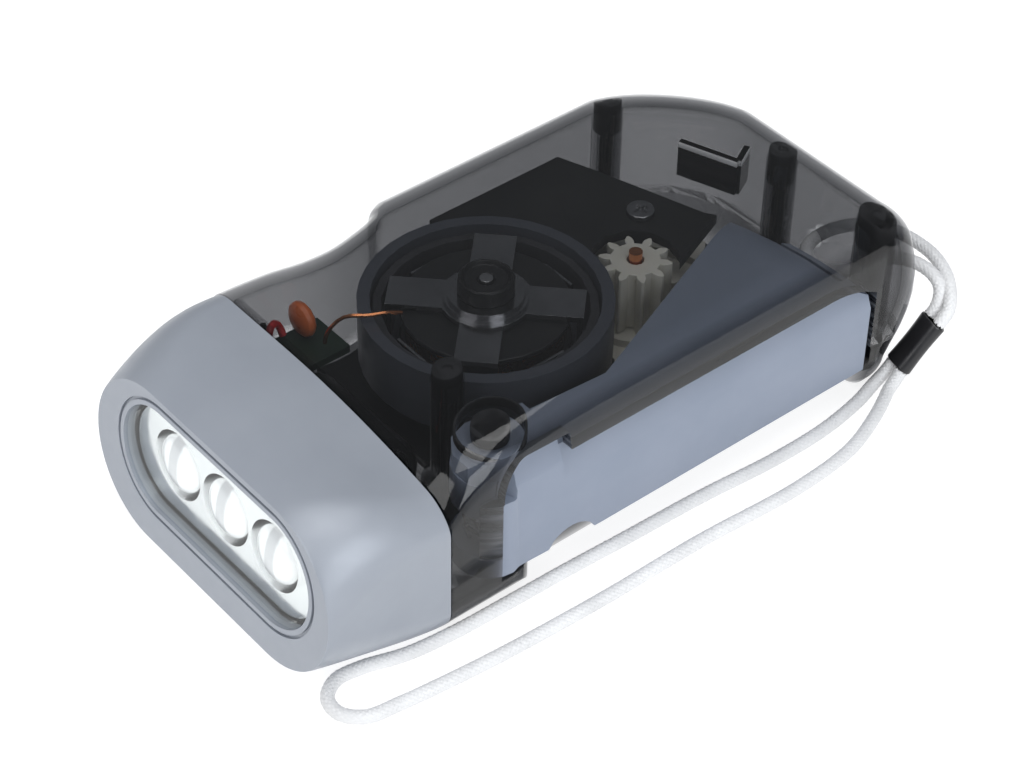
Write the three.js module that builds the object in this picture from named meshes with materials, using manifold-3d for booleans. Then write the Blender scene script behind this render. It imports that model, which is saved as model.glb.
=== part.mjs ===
// A squeeze-lever dynamo torch: a smoke-clear two-part body with a grey lamp head, a hinged hand
// lever on its right side, and between them the gear train and claw-pole generator that light three
// white diodes. Millimetres, +X to the lever side, +Y to the rear, +Z up. The origin is under the
// middle of the body, on the surface that it lies on.

import * as THREE from 'three';
import { mergeVertices } from 'three/addons/utils/BufferGeometryUtils.js';
import Module from 'manifold-3d';

// Body
const bodyLength = 104;
const bodyWidth = 51.5;
const bodyHeight = 30;
const shellWall = 1.8;
const partingHeight = 9.3;
const topFillet = 5;
const bottomFillet = 6;
const rearLeftRadius = 18;
const rearRightRadius = 6.5;
const headDepth = 20.4;
const waistLength = 26.4;
const waistDepth = 4;
const roofDrop = 2.6;
const seamGap = 0.2;
const collarLength = 3;
const collarWall = 1.5;
const collarSlack = 1.5;

// The left waist: share of the waist's length from the head joint, share of its depth
const waistShares = [
  [0, 0.2], [0.2, 0.42], [0.42, 0.78], [0.62, 1], [0.82, 0.8], [0.93, 0.54], [0.975, 0.2], [1.03, 0],
];

// Clearances and cuts
const fitGap = 0.3;
const runningGap = 0.6;
const overrun = 1;

// Lamp head
const headWall = 2;
const faceWidth = 48;
const faceTop = 25.6;
const faceBottom = 1.2;
const faceEdgeInset = 2.4;
const faceEdgeDepth = 5;
const faceTaperDepth = 6;
const headLean = THREE.MathUtils.degToRad(6);
const windowWidth = 39.8;
const windowHeight = 16.8;
const windowMiddle = 13.9;
const windowRebate = 0.8;
const windowThickness = 1.4;
const bezelGrooveWidth = 0.5;
const bezelGrooveDepth = 0.4;
const bezelMargin = 1.2;
const cupPitch = 10.8;
const cupRadius = 5.1;
const cupThroatRadius = 2.9;
const reflectorDepth = 6.5;
const reflectorRim = 0.6;
const ledRadius = 2.5;
const ledFlangeRadius = 2.8;
const ledFlangeThickness = 1;
const ledLength = 5.4;
const boardThickness = 1.2;

// Gears, with stub teeth
const pressureAngle = THREE.MathUtils.degToRad(25);
const toothAddendumShare = 0.8;
const toothDedendumShare = 1;
const toothBacklash = 0.12;
const flywheelModule = 1;
const flywheelPinionTeeth = 9;
const driveGearTeeth = 38;
const rackModule = 0.9;
const drivePinionTeeth = 10;
const rackTeeth = 112;
const rackRim = 1.6;
const rackHeight = 3.5;

// Where the lever's pivot is, and the bearings of the gears from it
const pivotInset = 5.28;
const pivotStation = 31;
const pinionBearing = THREE.MathUtils.degToRad(24.47);
const flywheelBearing = THREE.MathUtils.degToRad(11.93);

// Heights of the layers, from the lowest
const flangeBottom = 5.6;
const flangeThickness = 1.5;
const chassisGap = 0.5;
const chassisThickness = 1.4;
const gearThickness = 2.5;
const pinionHeight = 12.4;
const flywheelPinionHeight = 3;
const cupHeight = 10.8;
const coverThickness = 1.5;
const coverHeight = 20.5;

// Lever
const leverReach = 64.8;
const leverSpread = THREE.MathUtils.degToRad(17.2);
const leverTravel = THREE.MathUtils.degToRad(22);
const leverWall = 1.8;
const leverSkin = 1.5;
const leverTop = 21.9;
const leverBevelHeight = 17;
const leverBevelInset = 2.2;
const leverFrontTop = 24.8;
const leverFrontLength = 8.3;
const leverFrontBevelHeight = 19.5;
const leverFrontInset = 0.5;
const leverFacetStation = 15;
const leverKneeStation = 22.9;
const leverKneeInset = 3.6;
const leverNotchStart = 6.3;
const leverNotchLength = 7.7;
const leverNotchDepth = 2.4;
const leverFlangeWidth = 6.8;
const hubRadius = 5.2;
const hubNeckRadius = 2.55;
const hubCollarRadius = 3.9;
const hubCollarTop = 25.6;
const pivotPinRadius = 1.7;
const pivotSlack = 0.25;
const springGrooveBottom = 9.4;
const springGrooveTop = 16.2;

// Mouth in the body that the lever swings out of
const mouthSill = 5.2;
const mouthLip = 22.3;
const mouthFrontLip = 25.5;
const mouthRearLip = 19.3;
const mouthCornerHeight = 19;
const mouthFrontReach = 1.8;
const mouthCornerLength = 3.8;
const mouthRearSweep = 9;
const recessInset = 4.75;

// Flywheel and generator
const cupRadiusOuter = 17.7;
const cupWall = 1.8;
const cupFloor = 1.5;
const magnetThickness = 1.2;
const magnetHeight = 7.6;
const axleRadius = 1;
const hubSleeveRadius = 2.6;
const clawRadius = 13.6;
const clawThickness = 0.9;
const clawWidth = 6;
const clawHubRadius = 6.5;
const clawStepHeight = 0.55;
const clawCount = 4;
const clawOverlap = 5.2;
const coilRadius = 12;
const coilCoreRadius = 4;
const bobbinFlange = 0.8;
const axleBushRadius = 4;
const axleBushHeight = 2.6;
const gearAxleRise = 1.4;

// Screws and posts
const postRadius = 2.3;
const wideBossRadius = 3;
const screwRadius = 1;
const screwHeadRadius = 2.3;
const screwHeadHeight = 1.5;
const screwRecess = 2.2;
const screwClearance = 0.4;
const screwReach = 23;
const chassisPostRadius = 1.8;
const coverScrewHead = 1;
const coverPostBearing = THREE.MathUtils.degToRad(13);
const coverScrewBearing = THREE.MathUtils.degToRad(28.1);

// Switch and lock
const switchStation = 27.4;
const switchHeight = 14;
const switchBodyWidth = 4;
const switchBodyLength = 7;
const switchBodyHeight = 4.6;
const knobLength = 4.4;
const knobHeight = 3;
const knobProud = 1.1;
const knobTravel = 3;
const knobRidges = 3;
const knobRidge = 0.45;
const lockTravel = 3.5;
const lockPadWidth = 5.6;
const lockPadLength = 7;
const lockPadThickness = 0.9;
const lockPadRecess = 0.4;
const lockNeckWidth = 2.4;
const lockNeckLength = 3.6;
const lockPlateThickness = 1.2;
const lockFingerWidth = 1.2;
const lockFingerLength = 1.5;
const lockInset = 8.85;
const lockStation = 81.2;
const lugGap = 0.7;
const lugHook = 1;
const lugThickness = 1.5;
const lugLength = 4.2;

// Power cells and the rectifier board
const cellRadius = 7.6;
const cellThickness = 5.6;
const cellCount = 3;
const cellCrimp = 0.5;
const sleeveThickness = 0.35;
const packStation = 22.8;
const packMiddle = -3;
const cradleRibHeight = 4;
const cradleRibWidth = 1.4;
const smallBoardSize = 7.6;
const smallBoardInset = 7.4;
const smallBoardStation = 29.6;
const capacitorRadius = 2.7;
const capacitorThickness = 2.2;

// Wires
const wireRadius = 0.55;
const coilLeadRadius = 0.3;

// Wrist strap
const cordRadius = 1;
const strapSleeveWidth = 4.6;
const strapSleeveThickness = 2.7;
const strapEndGap = 0.3;
const strapHoleRadius = 1.5;
const strapHoleSpacing = 8.8;
const strapHoleInset = 17.95;
const strapHoleHeight = 15;

// Torsion spring
const springWireRadius = 0.35;
const springCoilRadius = 3.25;
const springTurns = 4;
const springLegLength = 1.6;

// Facets of round shapes
const arcSteps = 5;
const hollowSteps = 3;
const headCornerSteps = 8;
const roundFacets = 24;
const smallFacets = 12;
const flankSteps = 2;

// Places worked out from the sizes
const halfWidth = bodyWidth / 2;
const frontY = -bodyLength / 2;
const rearY = bodyLength / 2;
const jointY = frontY + headDepth;
const shoulderY = jointY + waistLength;
const rearArcY = rearY - rearLeftRadius;
const innerRoof = bodyHeight - shellWall;
const pivot = new THREE.Vector2(halfWidth - pivotInset, frontY + pivotStation);
const rackDistance = (rackTeeth - drivePinionTeeth) * rackModule / 2;
const gearDistance = (driveGearTeeth + flywheelPinionTeeth) * flywheelModule / 2;
const gearPlace = pivot.clone().add(polar(rackDistance, Math.PI / 2 + pinionBearing));
const flywheelPlace = gearPlace.clone().add(polar(gearDistance, -Math.PI / 2 - flywheelBearing));
const rackRadius = rackTeeth * rackModule / 2;
const rackOuter = rackRadius + toothDedendumShare * rackModule + rackRim;
const pinionTip = (drivePinionTeeth / 2 + toothAddendumShare) * rackModule;
const leverInnerX = halfWidth - leverFlangeWidth;
const sweepRadius = leverReach + runningGap + fitGap;
const hubClearance = hubRadius + fitGap + fitGap / 2;
const recessX = halfWidth - recessInset;
const chassisBottom = flangeBottom + flangeThickness + chassisGap;
const chassisTop = chassisBottom + chassisThickness;
const gearBottom = chassisTop + runningGap;
const pinionBottom = gearBottom + gearThickness;
const pinionTop = pinionBottom + pinionHeight - gearThickness;
const cupBottom = gearBottom + flywheelPinionHeight + runningGap;
const cupTop = cupBottom + cupHeight;
const rackBottom = pinionBottom + runningGap + fitGap;
const rackTop = rackBottom + rackHeight;
const coverTop = coverHeight + coverThickness;
const magnetOuter = cupRadiusOuter - cupWall - fitGap;
const packHeight = shellWall + 2 * fitGap + cellRadius + sleeveThickness;
const lockX = halfWidth - lockInset;
const lockY = frontY + lockStation;

// Screw bosses of the body: inset from the right or left wall, distance from the rear or front
const bosses = [
  { name: 'rear_left', x: -halfWidth + 3.9, y: rearY - 16.4, radius: postRadius },
  { name: 'rear_middle', x: halfWidth - 22.9, y: rearY - 4.8, radius: postRadius },
  { name: 'rear_right', x: halfWidth - 4.2, y: rearY - 4.5, radius: wideBossRadius },
  { name: 'front', x: halfWidth - 16.7, y: frontY + 33.1, radius: postRadius },
];

const wasm = await Module();
wasm.setup();

function polar(radius, angle) {
  return new THREE.Vector2(radius * Math.cos(angle), radius * Math.sin(angle));
}

// Solids from three.js geometries

function solid(geometry) {
  const plain = new THREE.BufferGeometry();
  plain.setAttribute('position', geometry.getAttribute('position').clone());
  if (geometry.index) {
    plain.setIndex(geometry.index.clone());
  }
  const merged = mergeVertices(plain);
  const position = merged.getAttribute('position');
  const kept = [];
  let volume = 0;
  const corners = [new THREE.Vector3(), new THREE.Vector3(), new THREE.Vector3()];
  for (let i = 0; i < merged.index.count; i += 3) {
    const face = [merged.index.getX(i), merged.index.getX(i + 1), merged.index.getX(i + 2)];
    if (face[0] !== face[1] && face[1] !== face[2] && face[0] !== face[2]) {
      face.forEach((index, k) => corners[k].fromBufferAttribute(position, index));
      volume += corners[0].dot(corners[1].clone().cross(corners[2]));
      kept.push(face);
    }
  }
  if (volume < 0) {
    kept.forEach((face) => face.reverse());
  }
  return new wasm.Manifold(new wasm.Mesh({
    numProp: 3,
    vertProperties: new Float32Array(position.array),
    triVerts: new Uint32Array(kept.flat()),
  }));
}

function geometryOf(manifold) {
  const mesh = manifold.getMesh();
  const geometry = new THREE.BufferGeometry();
  geometry.setAttribute('position', new THREE.BufferAttribute(mesh.vertProperties, 3));
  geometry.setIndex(new THREE.BufferAttribute(mesh.triVerts, 1));
  geometry.computeVertexNormals();
  return geometry;
}

function prism(points, bottom, top) {
  const shape = new THREE.Shape(points.map((p) => new THREE.Vector2(p.x, p.y)));
  const geometry = new THREE.ExtrudeGeometry(shape, { depth: top - bottom, bevelEnabled: false });
  return solid(geometry.translate(0, 0, bottom));
}

// A profile in the YZ plane, drawn out along X
function prismAlongX(points, left, right) {
  const shape = new THREE.Shape(points.map((p) => new THREE.Vector2(p[0], p[1])));
  const geometry = new THREE.ExtrudeGeometry(shape, { depth: right - left, bevelEnabled: false });
  const turn = new THREE.Matrix4().makeBasis(
    new THREE.Vector3(0, 1, 0), new THREE.Vector3(0, 0, 1), new THREE.Vector3(1, 0, 0),
  );
  return solid(geometry.translate(0, 0, left).applyMatrix4(turn));
}

// A profile in the XZ plane, drawn out along Y
function prismAlongY(points, front, rear) {
  const shape = new THREE.Shape(points.map((p) => new THREE.Vector2(p[0], p[1])));
  const geometry = new THREE.ExtrudeGeometry(shape, { depth: rear - front, bevelEnabled: false });
  const turn = new THREE.Matrix4().makeBasis(
    new THREE.Vector3(1, 0, 0), new THREE.Vector3(0, 0, 1), new THREE.Vector3(0, 1, 0),
  );
  return solid(geometry.translate(0, 0, front).applyMatrix4(turn));
}

function box(left, right, front, rear, bottom, top) {
  const geometry = new THREE.BoxGeometry(right - left, rear - front, top - bottom);
  return solid(geometry.translate((left + right) / 2, (front + rear) / 2, (bottom + top) / 2));
}

// A solid of revolution about Z from [radius, height] points that start and end on the axis or close
function turned(profile, facets = roundFacets) {
  const points = profile.map(([radius, height]) => new THREE.Vector2(radius, height));
  return solid(new THREE.LatheGeometry(points, facets).rotateX(Math.PI / 2));
}

function rod(radius, bottom, top, place = new THREE.Vector2(), facets = smallFacets) {
  return turned([[0, bottom], [radius, bottom], [radius, top], [0, top]], facets)
    .translate([place.x, place.y, 0]);
}

function tube(outer, inner, bottom, top, place = new THREE.Vector2(), facets = roundFacets) {
  return turned([[inner, bottom], [outer, bottom], [outer, top], [inner, top], [inner, bottom]], facets)
    .translate([place.x, place.y, 0]);
}

function arc(middle, radius, start, end, steps = arcSteps) {
  const points = [];
  for (let i = 0; i <= steps; i += 1) {
    points.push(polar(radius, start + (end - start) * i / steps).add(middle));
  }
  return points;
}

// A stadium outline, wider than it is high, about the origin
function stadium(width, height) {
  const end = width / 2 - height / 2;
  return [
    ...arc(new THREE.Vector2(end, 0), height / 2, -Math.PI / 2, Math.PI / 2, 2 * arcSteps),
    ...arc(new THREE.Vector2(-end, 0), height / 2, Math.PI / 2, 3 * Math.PI / 2, 2 * arcSteps),
  ];
}

// A closed skin over rings of points of equal count, with the cap triangles of its two ends
function skin(rings, firstCap, lastCap) {
  const count = rings[0].length;
  const positions = rings.flat().flatMap((p) => [p.x, p.y, p.z]);
  const faces = [];
  for (let k = 0; k < rings.length - 1; k += 1) {
    for (let i = 0; i < count; i += 1) {
      const next = (i + 1) % count;
      const a = k * count + i;
      const b = k * count + next;
      faces.push(a, b, b + count, a, b + count, a + count);
    }
  }
  const last = (rings.length - 1) * count;
  firstCap.forEach(([a, b, c]) => faces.push(c, b, a));
  lastCap.forEach(([a, b, c]) => faces.push(last + a, last + b, last + c));
  const geometry = new THREE.BufferGeometry();
  geometry.setAttribute('position', new THREE.Float32BufferAttribute(positions, 3));
  geometry.setIndex(faces);
  return solid(geometry);
}

// A round tube along a smooth curve through hand-placed points
function tubeAlong(points, radius, steps, sides) {
  const path = new THREE.CatmullRomCurve3(points.map((p) => new THREE.Vector3(...p)), false, 'centripetal');
  const section = new THREE.Shape(arc(new THREE.Vector2(), radius, 0, 2 * Math.PI, sides).slice(0, -1));
  return solid(new THREE.ExtrudeGeometry(section, { steps, extrudePath: path, bevelEnabled: false }));
}

// Body outline

// Stations along the body with the wall's place on the waist side
const waistCurve = new THREE.SplineCurve(waistShares.map(([along, deep]) => (
  new THREE.Vector2(jointY + along * waistLength, -halfWidth + deep * waistDepth)
)));
const waistPoints = waistCurve.getPoints(3 * arcSteps);
const frontRun = jointY - 2 * collarLength;
const sideStations = [frontRun, ...waistPoints.map((p) => p.x), rearArcY];
const leftWall = [waistPoints[0].y, ...waistPoints.map((p) => p.y), -halfWidth];

function bodyOutline() {
  const right = sideStations.map((y) => ({ x: halfWidth, y, inX: -1, inY: 0 }));
  const left = sideStations.map((y, i) => ({ x: leftWall[i], y, inX: 1, inY: 0 }));
  const corner = (middle, radius, start, steps) => arc(middle, radius, start, start + Math.PI / 2, steps)
    .map((p) => ({ x: p.x, y: p.y, inX: (middle.x - p.x) / radius, inY: (middle.y - p.y) / radius }));
  return [
    ...right,
    ...corner(new THREE.Vector2(halfWidth - rearRightRadius, rearY - rearRightRadius), rearRightRadius, 0, arcSteps),
    ...corner(new THREE.Vector2(rearLeftRadius - halfWidth, rearArcY), rearLeftRadius, Math.PI / 2, 2 * arcSteps)
      .slice(0, -1),
    ...left.reverse(),
  ];
}

// The roof sinks in a gentle curve from the shoulder to the head
function roofShare(y) {
  const along = THREE.MathUtils.clamp((shoulderY - y) / waistLength, 0, 1 + collarLength / waistLength);
  return along * along;
}

function warpedHeight(y, z) {
  const above = Math.max(0, (z - partingHeight) / (bodyHeight - partingHeight));
  return z - roofDrop * roofShare(y) * above;
}

// Ladder rungs join the side points; the flat rear behind them is filled as one polygon
function bodyCap(outline) {
  const side = sideStations.length;
  const count = outline.length;
  const faces = [];
  for (let i = 0; i < side - 1; i += 1) {
    faces.push([i, i + 1, count - 2 - i], [i, count - 2 - i, count - 1 - i]);
  }
  const rear = [];
  for (let i = side - 1; i <= count - side; i += 1) {
    rear.push(i);
  }
  const contour = rear.map((i) => new THREE.Vector2(outline[i].x, outline[i].y));
  THREE.ShapeUtils.triangulateShape(contour, []).forEach((face) => faces.push(face.map((i) => rear[i])));
  return faces;
}

// The body's full form, drawn in evenly on every side
function pillow(inset, steps) {
  const outline = bodyOutline();
  const ringAt = (shrink, z) => outline.map((p) => {
    const y = p.y + p.inY * shrink;
    return new THREE.Vector3(p.x + p.inX * shrink, y, warpedHeight(y, z));
  });
  const rings = [];
  const low = Math.max(bottomFillet - inset, inset / 2);
  const high = Math.max(topFillet - inset, inset / 2);
  for (let k = 0; k <= steps; k += 1) {
    const angle = k / steps * Math.PI / 2;
    rings.push(ringAt(inset + low * (1 - Math.sin(angle)), inset + low * (1 - Math.cos(angle))));
  }
  for (let k = steps; k >= 0; k -= 1) {
    const angle = k / steps * Math.PI / 2;
    rings.push(ringAt(inset + high * (1 - Math.sin(angle)), bodyHeight - inset - high * (1 - Math.cos(angle))));
  }
  const cap = bodyCap(outline);
  return skin(rings, cap, cap);
}

const far = 2 * bodyLength;
const bodyForm = pillow(0, arcSteps);
const bodyHollow = pillow(shellWall, hollowSteps);
const behindJoint = box(-far, far, jointY + seamGap, far, -far, far);
const abovePart = box(-far, far, -far, far, partingHeight, far);
const belowPart = box(-far, far, -far, far, -far, partingHeight);

// The collar that the head slides over
function collar() {
  const outside = pillow(headWall + collarSlack, hollowSteps);
  const inside = pillow(headWall + collarSlack + collarWall, hollowSteps);
  const neck = outside.subtract(inside)
    .intersect(box(-far, far, jointY - collarLength, jointY + shellWall + seamGap, -far, far));
  const bridge = pillow(overrun / 2, hollowSteps).subtract(inside)
    .intersect(box(-far, far, jointY + seamGap, jointY + shellWall + seamGap, -far, far));
  return neck.add(bridge);
}

// Plan of the space that the lever swings through, with the round end about its pivot
function sweepPlan(innerX) {
  const endAngle = Math.asin((innerX - pivot.x) / sweepRadius);
  const rear = arc(pivot, sweepRadius, Math.PI / 2 - Math.asin(pivotInset * 2 / sweepRadius),
    Math.PI / 2 - endAngle, 2 * arcSteps);
  return [new THREE.Vector2(halfWidth + pivotInset, pivot.y), ...rear, new THREE.Vector2(innerX, pivot.y)];
}

// The mouth's front edge, upright and then arched over to its raised lip: distances from the pivot
function mouthFrontEdge(gap) {
  const points = [];
  for (let i = 0; i <= arcSteps; i += 1) {
    const angle = i / arcSteps * Math.PI / 2;
    points.push([
      gap - mouthFrontReach + mouthCornerLength * (1 - Math.cos(angle)),
      mouthCornerHeight - gap + (mouthFrontLip - mouthCornerHeight) * Math.sin(angle),
    ]);
  }
  return points;
}

function mouth() {
  const lipStart = pivot.y + leverFrontLength + runningGap;
  const front = mouthFrontEdge(0).map(([y, z]) => [y + pivot.y, z]);
  const rearEnd = pivot.y + sweepRadius;
  const drop = mouthLip - mouthRearLip;
  const rearCurve = [];
  for (let i = 0; i <= arcSteps; i += 1) {
    const share = i / arcSteps;
    rearCurve.push([rearEnd - mouthRearSweep * (1 - share), mouthLip - drop * share * share]);
  }
  const profile = [
    [front[0][0], mouthSill], ...front,
    [lipStart, mouthFrontLip], [lipStart + overrun / 2, mouthLip],
    ...rearCurve, [rearEnd + overrun, mouthRearLip], [rearEnd + overrun, mouthSill],
  ];
  const plan = prism(sweepPlan(leverInnerX - runningGap), mouthSill, mouthFrontLip)
    .add(rod(hubClearance, mouthSill, mouthFrontLip, pivot, roundFacets));
  return prismAlongX(profile, pivot.x - hubRadius * 2, halfWidth + overrun).intersect(plan)
    .add(rod(hubClearance, mouthSill, mouthCornerHeight, pivot, roundFacets));
}

// The body's underside is drawn in below the lever, with an ear left under the hinge
function lowerRecess(grow, earRadius) {
  const recess = box(recessX - grow, far, pivot.y - grow, pivot.y + sweepRadius + grow, -far, partingHeight + grow);
  return earRadius ? recess.subtract(rod(earRadius, -far, far, pivot, roundFacets)) : recess;
}

// Screw pocket in the bottom shell
function screwPocket(boss) {
  const place = new THREE.Vector2(boss.x, boss.y);
  const seat = screwRecess + screwHeadHeight;
  return rod(screwHeadRadius + screwClearance, -overrun, seat, place)
    .add(rod(screwRadius + fitGap, 0, partingHeight + overrun, place));
}

function strapHolePlaces() {
  const first = halfWidth - strapHoleInset + strapHoleSpacing;
  return [first, first - strapHoleSpacing];
}

function switchFrame() {
  const y = frontY + switchStation;
  let k = 1;
  while (waistPoints[k].x < y) {
    k += 1;
  }
  const [a, b] = [waistPoints[k - 1], waistPoints[k]];
  const share = (y - a.x) / (b.x - a.x);
  const angle = -Math.atan2(b.y - a.y, b.x - a.x);
  return { x: a.y + (b.y - a.y) * share, y, angle };
}

function switchSlot() {
  const frame = switchFrame();
  const length = knobLength + knobTravel + 2 * fitGap;
  const height = knobHeight + 2 * fitGap;
  return box(-2 * shellWall, 2 * shellWall, -length / 2, length / 2, switchHeight - height / 2, switchHeight + height / 2)
    .rotate([0, 0, THREE.MathUtils.radToDeg(frame.angle)])
    .translate([frame.x, frame.y, 0]);
}

function roofRib(from, to, thickness, depth) {
  const along = to.clone().sub(from);
  const side = new THREE.Vector2(-along.y, along.x).setLength(thickness / 2);
  const corners = [from.clone().add(side), from.clone().sub(side), to.clone().sub(side), to.clone().add(side)];
  return prism(corners.reverse(), innerRoof - depth, innerRoof + shellWall / 2);
}

function topShell() {
  let shell = bodyForm.subtract(bodyHollow).intersect(behindJoint).add(collar()).intersect(abovePart);
  const fill = bodyForm.intersect(behindJoint).intersect(abovePart);
  bosses.forEach((boss) => {
    const place = new THREE.Vector2(boss.x, boss.y);
    shell = shell.add(rod(boss.radius, partingHeight, bodyHeight, place).intersect(fill));
  });
  const ribMiddle = new THREE.Vector2(halfWidth - 25.35, rearY - 11.2);
  const ribDepth = 5;
  shell = shell.add(roofRib(new THREE.Vector2(halfWidth - 34.15, rearY - 14.4), ribMiddle, 1, ribDepth));
  shell = shell.add(roofRib(ribMiddle, new THREE.Vector2(halfWidth - 27.15, rearY - 7.8), 1, ribDepth));
  shell = shell.subtract(mouth()).subtract(switchSlot());
  shell = shell.subtract(rod(hubCollarRadius + fitGap, mouthCornerHeight, hubCollarTop + fitGap, pivot, roundFacets));
  bosses.forEach((boss) => {
    shell = shell.subtract(rod(screwRadius + fitGap, partingHeight - overrun, screwReach + fitGap,
      new THREE.Vector2(boss.x, boss.y)));
  });
  strapHolePlaces().forEach((x) => {
    shell = shell.subtract(rod(strapHoleRadius, 0, far).rotate([-90, 0, 0])
      .translate([x, rearY - 2 * shellWall, strapHoleHeight]));
  });
  return shell;
}

function lockSlot() {
  const padLength = lockPadLength + lockTravel + 2 * fitGap;
  const neckLength = lockNeckLength + lockTravel + 2 * fitGap;
  const padFront = lockY - lockPadLength / 2 - fitGap;
  const neckFront = lockY - lockNeckLength / 2 - fitGap;
  const padTop = lockPadRecess + lockPadThickness + fitGap / 2;
  const padHalf = lockPadWidth / 2 + fitGap;
  const neckHalf = lockNeckWidth / 2 + fitGap;
  return box(lockX - padHalf, lockX + padHalf, padFront, padFront + padLength, -overrun, padTop)
    .add(box(lockX - neckHalf, lockX + neckHalf, neckFront, neckFront + neckLength, 0, shellWall + overrun));
}

function bottomShell() {
  const outside = bodyForm.subtract(lowerRecess(0, hubRadius));
  const inside = bodyHollow.subtract(lowerRecess(shellWall, 0));
  let shell = outside.subtract(inside).intersect(behindJoint).add(collar()).intersect(belowPart);
  const fill = outside.intersect(behindJoint).intersect(belowPart);
  bosses.forEach((boss) => {
    const place = new THREE.Vector2(boss.x, boss.y);
    shell = shell.add(rod(screwHeadRadius + screwClearance + shellWall / 2, 0, partingHeight, place).intersect(fill));
  });
  shell = shell.add(cradle());
  shell = shell.subtract(packSpace()).subtract(mouthSpace());
  bosses.forEach((boss) => {
    shell = shell.subtract(screwPocket(boss));
  });
  shell = shell.subtract(lockSlot());
  return shell.subtract(rod(pivotPinRadius + pivotSlack, shellWall, partingHeight, pivot));
}

// What the lever sweeps above the sill of the bottom shell
function mouthSpace() {
  const plan = prism(sweepPlan(leverInnerX - runningGap), mouthSill, partingHeight + overrun);
  const lug = box(lockX - 2 * lugGap - lugHook - lockFingerWidth, recessX, lockY - lugLength,
    lockY + 3 * lugLength, mouthSill, partingHeight + overrun);
  return plan.add(rod(hubClearance, mouthSill, partingHeight + overrun, pivot, roundFacets)).add(lug);
}

// Room for the round pack of cells
function packSpace() {
  const length = cellCount * cellThickness + 2 * sleeveThickness + 2 * runningGap;
  return rod(cellRadius + sleeveThickness + fitGap, -length / 2, length / 2, new THREE.Vector2(), roundFacets)
    .rotate([0, 90, 0]).translate([packMiddle, frontY + packStation, packHeight]);
}

// Two floor ribs that hold the pack
function cradle() {
  const packY = frontY + packStation;
  const reach = cellRadius * 0.8;
  const spread = cellThickness * cellCount / 2 - cradleRibWidth;
  let ribs = box(packMiddle - spread - cradleRibWidth, packMiddle - spread, jointY + shellWall, packY + reach,
    shellWall / 2, shellWall + cradleRibHeight);
  return ribs.add(ribs.translate([2 * spread + cradleRibWidth, 0, 0]));
}

// Lamp head

function smooth(value) {
  return THREE.MathUtils.smoothstep(value, 0, 1);
}

// One cross-section of the head at a distance behind its front face
function headRing(depth, inset, steps) {
  const share = depth / headDepth;
  const blend = smooth((depth - faceTaperDepth) / (headDepth - faceTaperDepth));
  const edge = Math.max(0, 1 - depth / faceEdgeDepth);
  const shrink = inset + faceEdgeInset * (1 - Math.sqrt(1 - edge * edge));
  const roofAtJoint = bodyHeight - roofDrop;
  const top = THREE.MathUtils.lerp(faceTop, roofAtJoint, share * share) - shrink;
  const bottom = THREE.MathUtils.lerp(faceBottom, 0, blend) + shrink;
  const right = THREE.MathUtils.lerp(faceWidth / 2, halfWidth, blend) - shrink;
  const left = -THREE.MathUtils.lerp(faceWidth / 2, -leftWall[0], blend) + shrink;
  const round = (top - bottom) / 2;
  const topRadius = THREE.MathUtils.lerp(round, Math.max(topFillet - shrink, overrun), blend);
  const bottomRadius = THREE.MathUtils.lerp(round, Math.max(bottomFillet - shrink, overrun), blend);
  const flat = [
    ...arc(new THREE.Vector2(right - bottomRadius, bottom + bottomRadius), bottomRadius, -Math.PI / 2, 0, steps),
    ...arc(new THREE.Vector2(right - topRadius, top - topRadius), topRadius, 0, Math.PI / 2, steps),
    ...arc(new THREE.Vector2(left + topRadius, top - topRadius), topRadius, Math.PI / 2, Math.PI, steps),
    ...arc(new THREE.Vector2(left + bottomRadius, bottom + bottomRadius), bottomRadius, Math.PI, 1.5 * Math.PI, steps),
  ];
  const lean = Math.tan(headLean) * (1 - Math.min(1, share));
  const foot = faceBottom + faceEdgeInset;
  return flat.map((p) => new THREE.Vector3(p.x, frontY + depth + Math.max(p.y - foot, 0) * lean, p.y));
}

function headForm(inset, start, end, steps) {
  const depths = [];
  for (let k = 0; k < hollowSteps; k += 1) {
    const angle = k / hollowSteps * Math.PI / 2;
    depths.push(start + (faceEdgeDepth - start) * (1 - Math.cos(angle)));
  }
  const runs = hollowSteps + 1;
  for (let k = 0; k <= runs; k += 1) {
    depths.push(faceEdgeDepth + (end - faceEdgeDepth) * k / runs);
  }
  const rings = depths.map((depth) => headRing(depth, inset, steps));
  const caps = [rings[0], rings[rings.length - 1]].map((ring) => (
    THREE.ShapeUtils.triangulateShape(ring.map((p) => new THREE.Vector2(p.x, p.z)), [])
  ));
  return skin(rings, caps[0], caps[1]);
}

// The leaning frame that the window, reflector and diodes are set in: Y runs into the head
const opticsPlace = new THREE.Vector3(0, frontY + (windowMiddle - faceBottom - faceEdgeInset) * Math.tan(headLean),
  windowMiddle);
const opticsMatrix = new THREE.Matrix4().makeRotationX(-headLean).setPosition(opticsPlace);

function opticsPrism(points, front, rear) {
  return prismAlongY(points.map((p) => [p.x, p.y]), front, rear);
}

function placed(manifold, matrix) {
  return manifold.transform(matrix.elements);
}

function headCap() {
  const shell = headForm(0, 0, headDepth, headCornerSteps)
    .subtract(headForm(headWall, headWall, headDepth + overrun, arcSteps));
  const opening = opticsPrism(stadium(windowWidth, windowHeight), -2 * overrun, headWall + 2 * overrun);
  const grooveOuter = stadium(windowWidth + 2 * bezelMargin, windowHeight + 2 * bezelMargin);
  const inner = bezelMargin - bezelGrooveWidth;
  const grooveInner = stadium(windowWidth + 2 * inner, windowHeight + 2 * inner);
  const groove = opticsPrism(grooveOuter, -overrun, bezelGrooveDepth)
    .subtract(opticsPrism(grooveInner, -2 * overrun, 2 * overrun));
  return shell.subtract(placed(opening, opticsMatrix)).subtract(placed(groove, opticsMatrix));
}

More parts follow.
